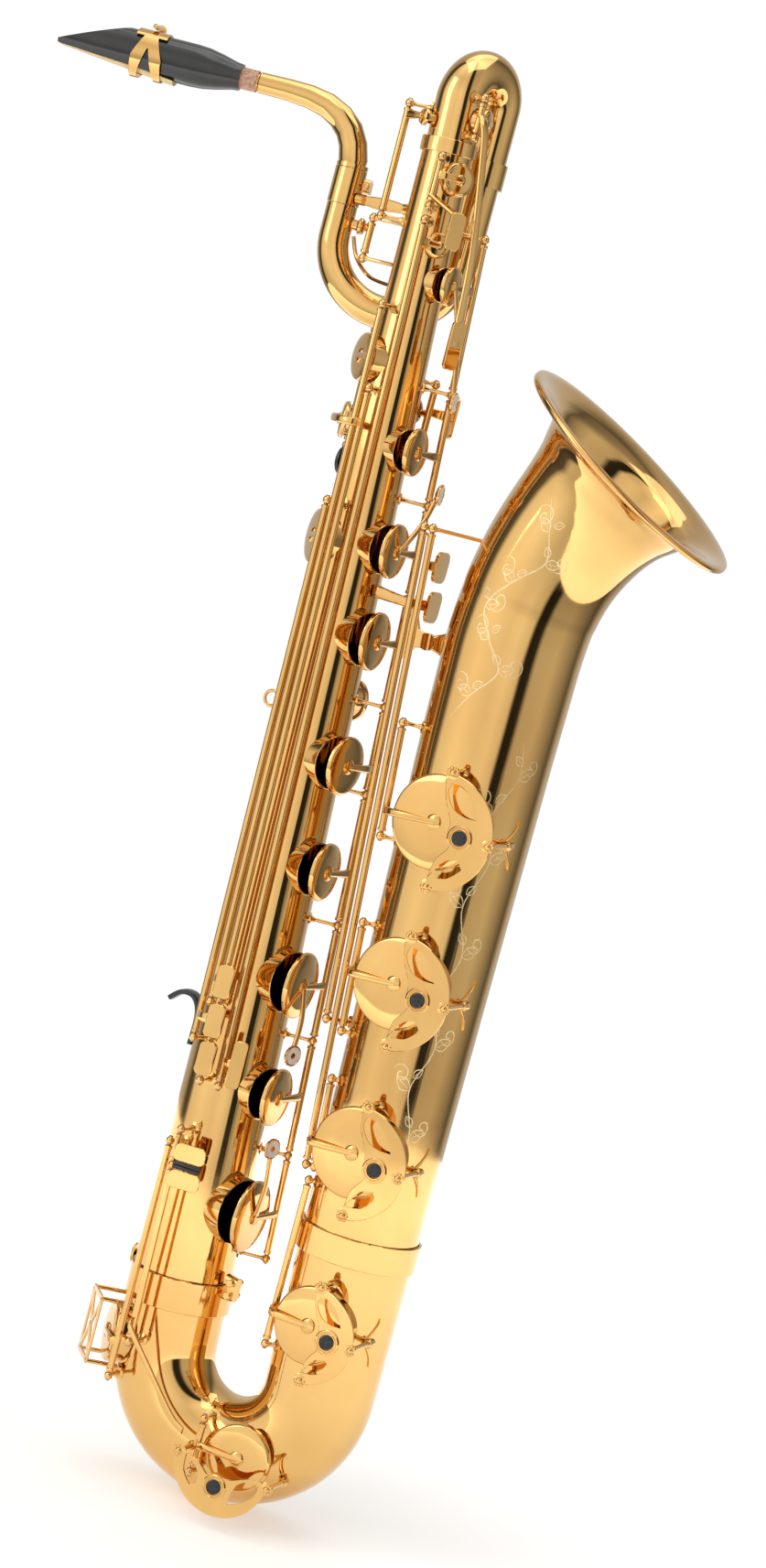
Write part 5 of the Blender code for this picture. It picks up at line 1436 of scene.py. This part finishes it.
def stroke(spots, width):
    """A thin engraved line through spots of (along, millimetres round); tapered at its ends."""
    fine = smooth_path([Vector((a, b, 0)) for a, b in spots], 8)
    left, right = [], []
    count = len(fine)
    for i, spot in enumerate(fine):
        before, after = fine[max(i - 1, 0)], fine[min(i + 1, count - 1)]
        way = (after - before).normalized()
        half = width / 2 * min(1, 0.25 + 3.2 * min(i, count - 1 - i) / count)
        for row, sign in ((left, 1), (right, -1)):
            flat = spot + Vector((-way.y, way.x, 0)) * half * sign
            r = 52 if flat.x < 430 else 60
            point, out = on_surface(flat.x, degrees(flat.y / r))
            row.append((point, out))
    rings = []
    for (a, way_a), (b, way_b) in zip(left, right):
        rings.append([a - way_a * 0.3, a, b, b - way_b * 0.3])
    return loft(rings)


def scroll(along, across, size, turn, sense):
    """A spiral of engraving that starts at a place and curls up."""
    spots = []
    for i in range(15):
        t = radians(turn + sense * i * 34)
        reach = size * (1 - i / 15.5)
        spots.append((along + reach * sin(t), across + reach * cos(t)))
    return stroke(spots, 0.85)


def leaf(along, across, length, turn):
    """A pointed leaf with a middle vein."""
    way = (sin(radians(turn)), cos(radians(turn)))
    aside = (-way[1], way[0])
    parts = []
    for bulge in (-0.28, 0.28, 0.0):
        spots = []
        for share, swell in ((0, 0), (0.25, 0.8), (0.5, 1.0), (0.78, 0.55), (1, 0)):
            reach, off = length * share, length * bulge * swell
            spots.append((along + way[0] * reach + aside[0] * off, across + way[1] * reach + aside[1] * off))
        parts.append(stroke(spots, 0.7 if bulge else 0.45))
    return parts


def engraving():
    marks = []
    vine = [(372, -20), (392, -6), (412, 10), (432, -4), (452, -18)]
    vine += [(474, -2), (496, 14), (516, 2), (534, -14)]
    marks.append(stroke(vine, 1.1))
    for i, (along, across) in enumerate(vine[1:-1]):
        sense = 1 if i % 2 else -1
        marks.append(scroll(along + 6, across + 11 * sense, 8.5, 200 * sense, sense))
        marks += leaf(along, across, 13, 90 - 70 * sense)
        marks += leaf(along + 5, across, 9, 90 + 50 * sense)
    low_vine = [(20, 34), (50, 24), (84, 36), (118, 26), (150, 38), (184, 28), (216, 40)]
    low_vine += [(250, 30), (284, 42), (316, 34), (344, 48), (370, 44)]
    marks.append(stroke(low_vine, 0.9))
    for i, (along, across) in enumerate(low_vine[1:-1]):
        sense = 1 if i % 2 else -1
        marks.append(scroll(along + 10, across + 10 * sense, 7.5, 200 * sense, sense))
        marks += leaf(along, across, 15, 90 - 60 * sense)
        marks += leaf(along + 9, across, 10, 90 + 45 * sense)
    show("bell_engraving", joined(marks), "engraved_brass", "bell")


engraving()


# ---------------------------------------------------------------- small fittings


def claws():
    """The curved feet that spread over the bell beside each guard's outer post."""
    for name, z, r in BELL_CUPS:
        scale = r / GUARD_CUP_R
        foot_x = bell_axis(z).x + min(GUARD_R + 0.5, (bell_r(z) - 5) / scale) * scale
        parts = []
        for sense in (-1, 1):
            spots = []
            for i in range(7):
                reach = i / 6
                height = z - 5 * scale + sense * 17 * reach
                across = foot_x - bell_axis(height).x + 4.5 * (1 - (1 - reach) ** 2) - 3.0
                axis, tube_r = bell_axis(height), bell_r(height)
                across = min(across, tube_r - 1.5)
                spots.append(axis + Vector((across, -sqrt(tube_r ** 2 - across ** 2) - 1.2, 0)))
            parts.append(bar(spots, UP, [4.2, 3.8, 3.2, 2.8, 2.4, 2.0, 1.6], 1.4))
        show(name + "_guard_claw", joined(parts), "lacquered_brass", name + "_guard")


def clamp_lug():
    """The lug that draws the clamp ring tight, with its two screws, and the round boss behind."""
    at = body_axis(138) + facing(78) * (bow_r(0) + 6.5)
    out, side = facing(78), UP.cross(facing(78))
    parts = [bar([at - out * 5, at + out * 5], UP, [19, 17], 8)]
    parts.append(turned(body_axis(138) + facing(-84) * (bow_r(0) + 2), facing(-84),
                        [(7.5, -0.4), (7.5, 1.2), (6.6, 2.0), (5.2, 2.4), (5.0, 1.7), (0.1, 1.7)], 8))
    show("bow_clamp_lug", joined(parts), "lacquered_brass", "bow_clamp_ring")
    screws = []
    screw = [(0.1, 0), (2.4, 0), (2.8, 0.4), (2.8, 14), (2.4, 14.4), (0.1, 14.4)]
    for rise in (-4.6, 4.6):
        screws.append(turned(at + out * 1.5 + UP * rise - side * 7, side, screw, 6))
    show("bow_clamp_screws", joined(screws), "lacquered_brass", "bow_clamp_ring")


def pinky_rollers():
    """Black rollers along the facing edges of the two little-finger plates."""
    line = body_line(-8, 18)
    high = line(level(214))
    low = high + (high - line(92)).normalized() * 2 * POST_GAP
    for name, z, edge in (("e_flat_lever", high.z - 3, 1), ("low_c_lever", low.z + 9.2, -1)):
        middle = around(z + edge * 8.1, 7, 26)
        side = UP.cross(facing(7))
        roller = [(0.1, -10), (1.3, -10), (1.55, -9.6), (1.55, 9.6), (1.3, 10), (0.1, 10)]
        show(name + "_roller", turned(middle, side, roller, 6), "black_plastic", name)


claws()
clamp_lug()
pinky_rollers()

# ---------------------------------------------------------------- stage, lights and camera


def floor_paper_and_glow():
    """Matt pale paper under the horn, with painted light: an emission glow that grows with distance, so the
    floor burns out to white further away.
    """
    made = bpy.data.materials.new("floor")
    made.use_nodes = True
    tree = made.node_tree
    shader = tree.nodes["Principled BSDF"]
    tint = blended(tree, noise_of(tree, 3), (0.90, 0.90, 0.89), (0.885, 0.885, 0.875))
    tree.links.new(tint, shader.inputs["Base Color"])
    shader.inputs["Roughness"].default_value = 0.85
    # painted light: the floor glows by emission, weakly near the horn and full white from 1.4 m away
    place = node(tree, "ShaderNodeTexCoord")
    away = node(tree, "ShaderNodeVectorMath", operation="LENGTH")
    tree.links.new(place.outputs["Object"], away.inputs[0])
    shader.inputs["Emission Color"].default_value = (1, 1, 1, 1)
    painted_glow = spread(tree, away.outputs["Value"], 0.36, 1.0, 0.6, 1.4)
    tree.links.new(painted_glow, shader.inputs["Emission Strength"])
    return made


def floor():
    """A wide round floor just under the bow, with rings of faces so that it shades evenly."""
    low = first_bounds[0][2] / MM + STRAP_POINT.z - 4
    radii = [20, 200, 400, 600, 800, 1000, 1250, 1500]
    points = [Vector((r * cos(tau * k / 96), r * sin(tau * k / 96), low)) for r in radii for k in range(96)]
    faces = [tuple(range(96))]
    for i in range(len(radii) - 1):
        faces += [(96 * i + k, 96 * i + (k + 1) % 96, 96 * i + 96 + (k + 1) % 96, 96 * i + 96 + k)
                  for k in range(96)]
    mesh = bpy.data.meshes.new("floor")
    mesh.from_pydata([tuple((p - STRAP_POINT) * MM) for p in points], [], faces)
    bm = bmesh.new()
    bm.from_mesh(mesh)
    bmesh.ops.recalc_face_normals(bm, faces=bm.faces)
    bm.to_mesh(mesh)
    bm.free()
    if mesh.polygons[0].normal.z < 0:
        mesh.flip_normals()
    mesh.materials.append(floor_paper_and_glow())
    piece = bpy.data.objects.new("floor", mesh)
    bpy.context.scene.collection.objects.link(piece)


floor()


# Brightness of the studio by bearing: soft boxes, dark flags and the dimmer room behind.
SKY_ROUND = [(0.0, 0.92), (0.10, 1.1), (0.19, 0.9), (0.215, 0.12), (0.25, 0.06), (0.30, 0.45)]
SKY_ROUND += [(0.42, 0.6), (0.55, 0.5), (0.60, 0.12), (0.66, 0.34), (0.74, 0.62), (0.83, 0.55)]
SKY_ROUND += [(0.85, 0.03), (0.885, 0.02), (0.90, 0.8), (0.95, 1.0), (1.0, 0.92)]
# And its dimming from straight down to straight up.
SKY_RISE = [(0.0, 0.5), (0.30, 0.62), (0.44, 0.95), (0.62, 1.0), (0.84, 0.8), (1.0, 1.2)]
SKY_STRENGTH = 1.15


def sky():
    """Soft boxes and dark flags all round for the brass to mirror; the camera sees plain white."""
    world = bpy.data.worlds.new("studio")
    bpy.context.scene.world = world
    world.use_nodes = True
    tree = world.node_tree
    tree.nodes.clear()
    place = node(tree, "ShaderNodeTexCoord")
    split = node(tree, "ShaderNodeSeparateXYZ")
    tree.links.new(place.outputs["Generated"], split.inputs["Vector"])
    turn = node(tree, "ShaderNodeMath", operation="ARCTAN2")
    tree.links.new(split.outputs["X"], turn.inputs[0])
    tree.links.new(split.outputs["Y"], turn.inputs[1])
    share = node(tree, "ShaderNodeMapRange")
    share.inputs["From Min"].default_value, share.inputs["From Max"].default_value = -pi, pi
    tree.links.new(turn.outputs[0], share.inputs["Value"])
    ramp = node(tree, "ShaderNodeValToRGB")
    stops = ramp.color_ramp.elements
    plan = SKY_ROUND
    while len(stops) < len(plan):
        stops.new(0.5)
    for stop, (spot, level_) in zip(stops, plan):
        stop.position, stop.color = spot, (level_, level_ * 0.985, level_ * 0.96, 1)
    tree.links.new(share.outputs["Result"], ramp.inputs["Fac"])
    fade = node(tree, "ShaderNodeValToRGB")
    stops = fade.color_ramp.elements
    plan = SKY_RISE
    while len(stops) < len(plan):
        stops.new(0.5)
    for stop, (spot, level_) in zip(stops, plan):
        stop.position, stop.color = spot, (level_, level_, level_, 1)
    rise = node(tree, "ShaderNodeMapRange")
    rise.inputs["From Min"].default_value, rise.inputs["From Max"].default_value = -1, 1
    tree.links.new(split.outputs["Z"], rise.inputs["Value"])
    tree.links.new(rise.outputs["Result"], fade.inputs["Fac"])
    mixed = node(tree, "ShaderNodeMixRGB", blend_type="MULTIPLY")
    mixed.inputs["Fac"].default_value = 1
    tree.links.new(ramp.outputs["Color"], mixed.inputs["Color1"])
    tree.links.new(fade.outputs["Color"], mixed.inputs["Color2"])
    boxes = node(tree, "ShaderNodeBackground")
    boxes.inputs["Strength"].default_value = SKY_STRENGTH
    tree.links.new(mixed.outputs["Color"], boxes.inputs["Color"])
    white = node(tree, "ShaderNodeBackground")
    white.inputs["Color"].default_value = (1, 1, 1, 1)
    white.inputs["Strength"].default_value = 1.0
    seen = node(tree, "ShaderNodeLightPath")
    choice = node(tree, "ShaderNodeMixShader")
    tree.links.new(seen.outputs["Is Camera Ray"], choice.inputs["Fac"])
    tree.links.new(boxes.outputs["Background"], choice.inputs[1])
    tree.links.new(white.outputs["Background"], choice.inputs[2])
    out = node(tree, "ShaderNodeOutputWorld")
    tree.links.new(choice.outputs["Shader"], out.inputs["Surface"])


sky()


def soft_box(name, spot, aim, width, height, power, colour=(1, 1, 1)):
    light = bpy.data.lights.new(name, "AREA")
    light.shape, light.size, light.size_y = "RECTANGLE", width, height
    light.energy, light.color = power, colour
    lamp = bpy.data.objects.new(name, light)
    lamp.location = (Vector(spot) - STRAP_POINT) * MM
    way = (Vector(aim) - Vector(spot)).normalized()
    lamp.rotation_euler = way.to_track_quat("-Z", "Y").to_euler()
    bpy.context.scene.collection.objects.link(lamp)


soft_box("key_box", (-1500, -1700, 1600), (0, 0, 500), 0.9, 1.8, 9)
soft_box("top_box", (100, 100, 2400), (0, 0, 400), 1.6, 1.6, 9)

VIEW_TURN = 20          # degrees from the player's right towards the bell
VIEW_RISE = 5.4
VIEW_AWAY = 2690
VIEW_ROLL = 14.9
right = Vector((cos(radians(VIEW_TURN)), sin(radians(VIEW_TURN)), 0))
rise = radians(VIEW_RISE)
back = Vector((right.y * cos(rise), -right.x * cos(rise), sin(rise)))
above = back.cross(right)
target = Vector((-48 / right.x, 0, 512))
lens = bpy.data.cameras.new("camera")
lens.sensor_fit, lens.sensor_height, lens.lens = "VERTICAL", 36, 88.33
lens.shift_x, lens.shift_y = 0.00016, -0.00052
lens.clip_start, lens.clip_end = 0.05, 50
camera = bpy.data.objects.new("camera", lens)
roll = radians(VIEW_ROLL)
axes = (right * cos(roll) + above * sin(roll), above * cos(roll) - right * sin(roll), back)
turned_by = Matrix([[axis[i] for axis in axes] for i in range(3)]).to_4x4()
camera.matrix_world = Matrix.Translation((target + back * VIEW_AWAY - STRAP_POINT) * MM) @ turned_by
bpy.context.scene.collection.objects.link(camera)
bpy.context.scene.camera = camera
bpy.context.scene.view_settings.view_transform = "Standard"
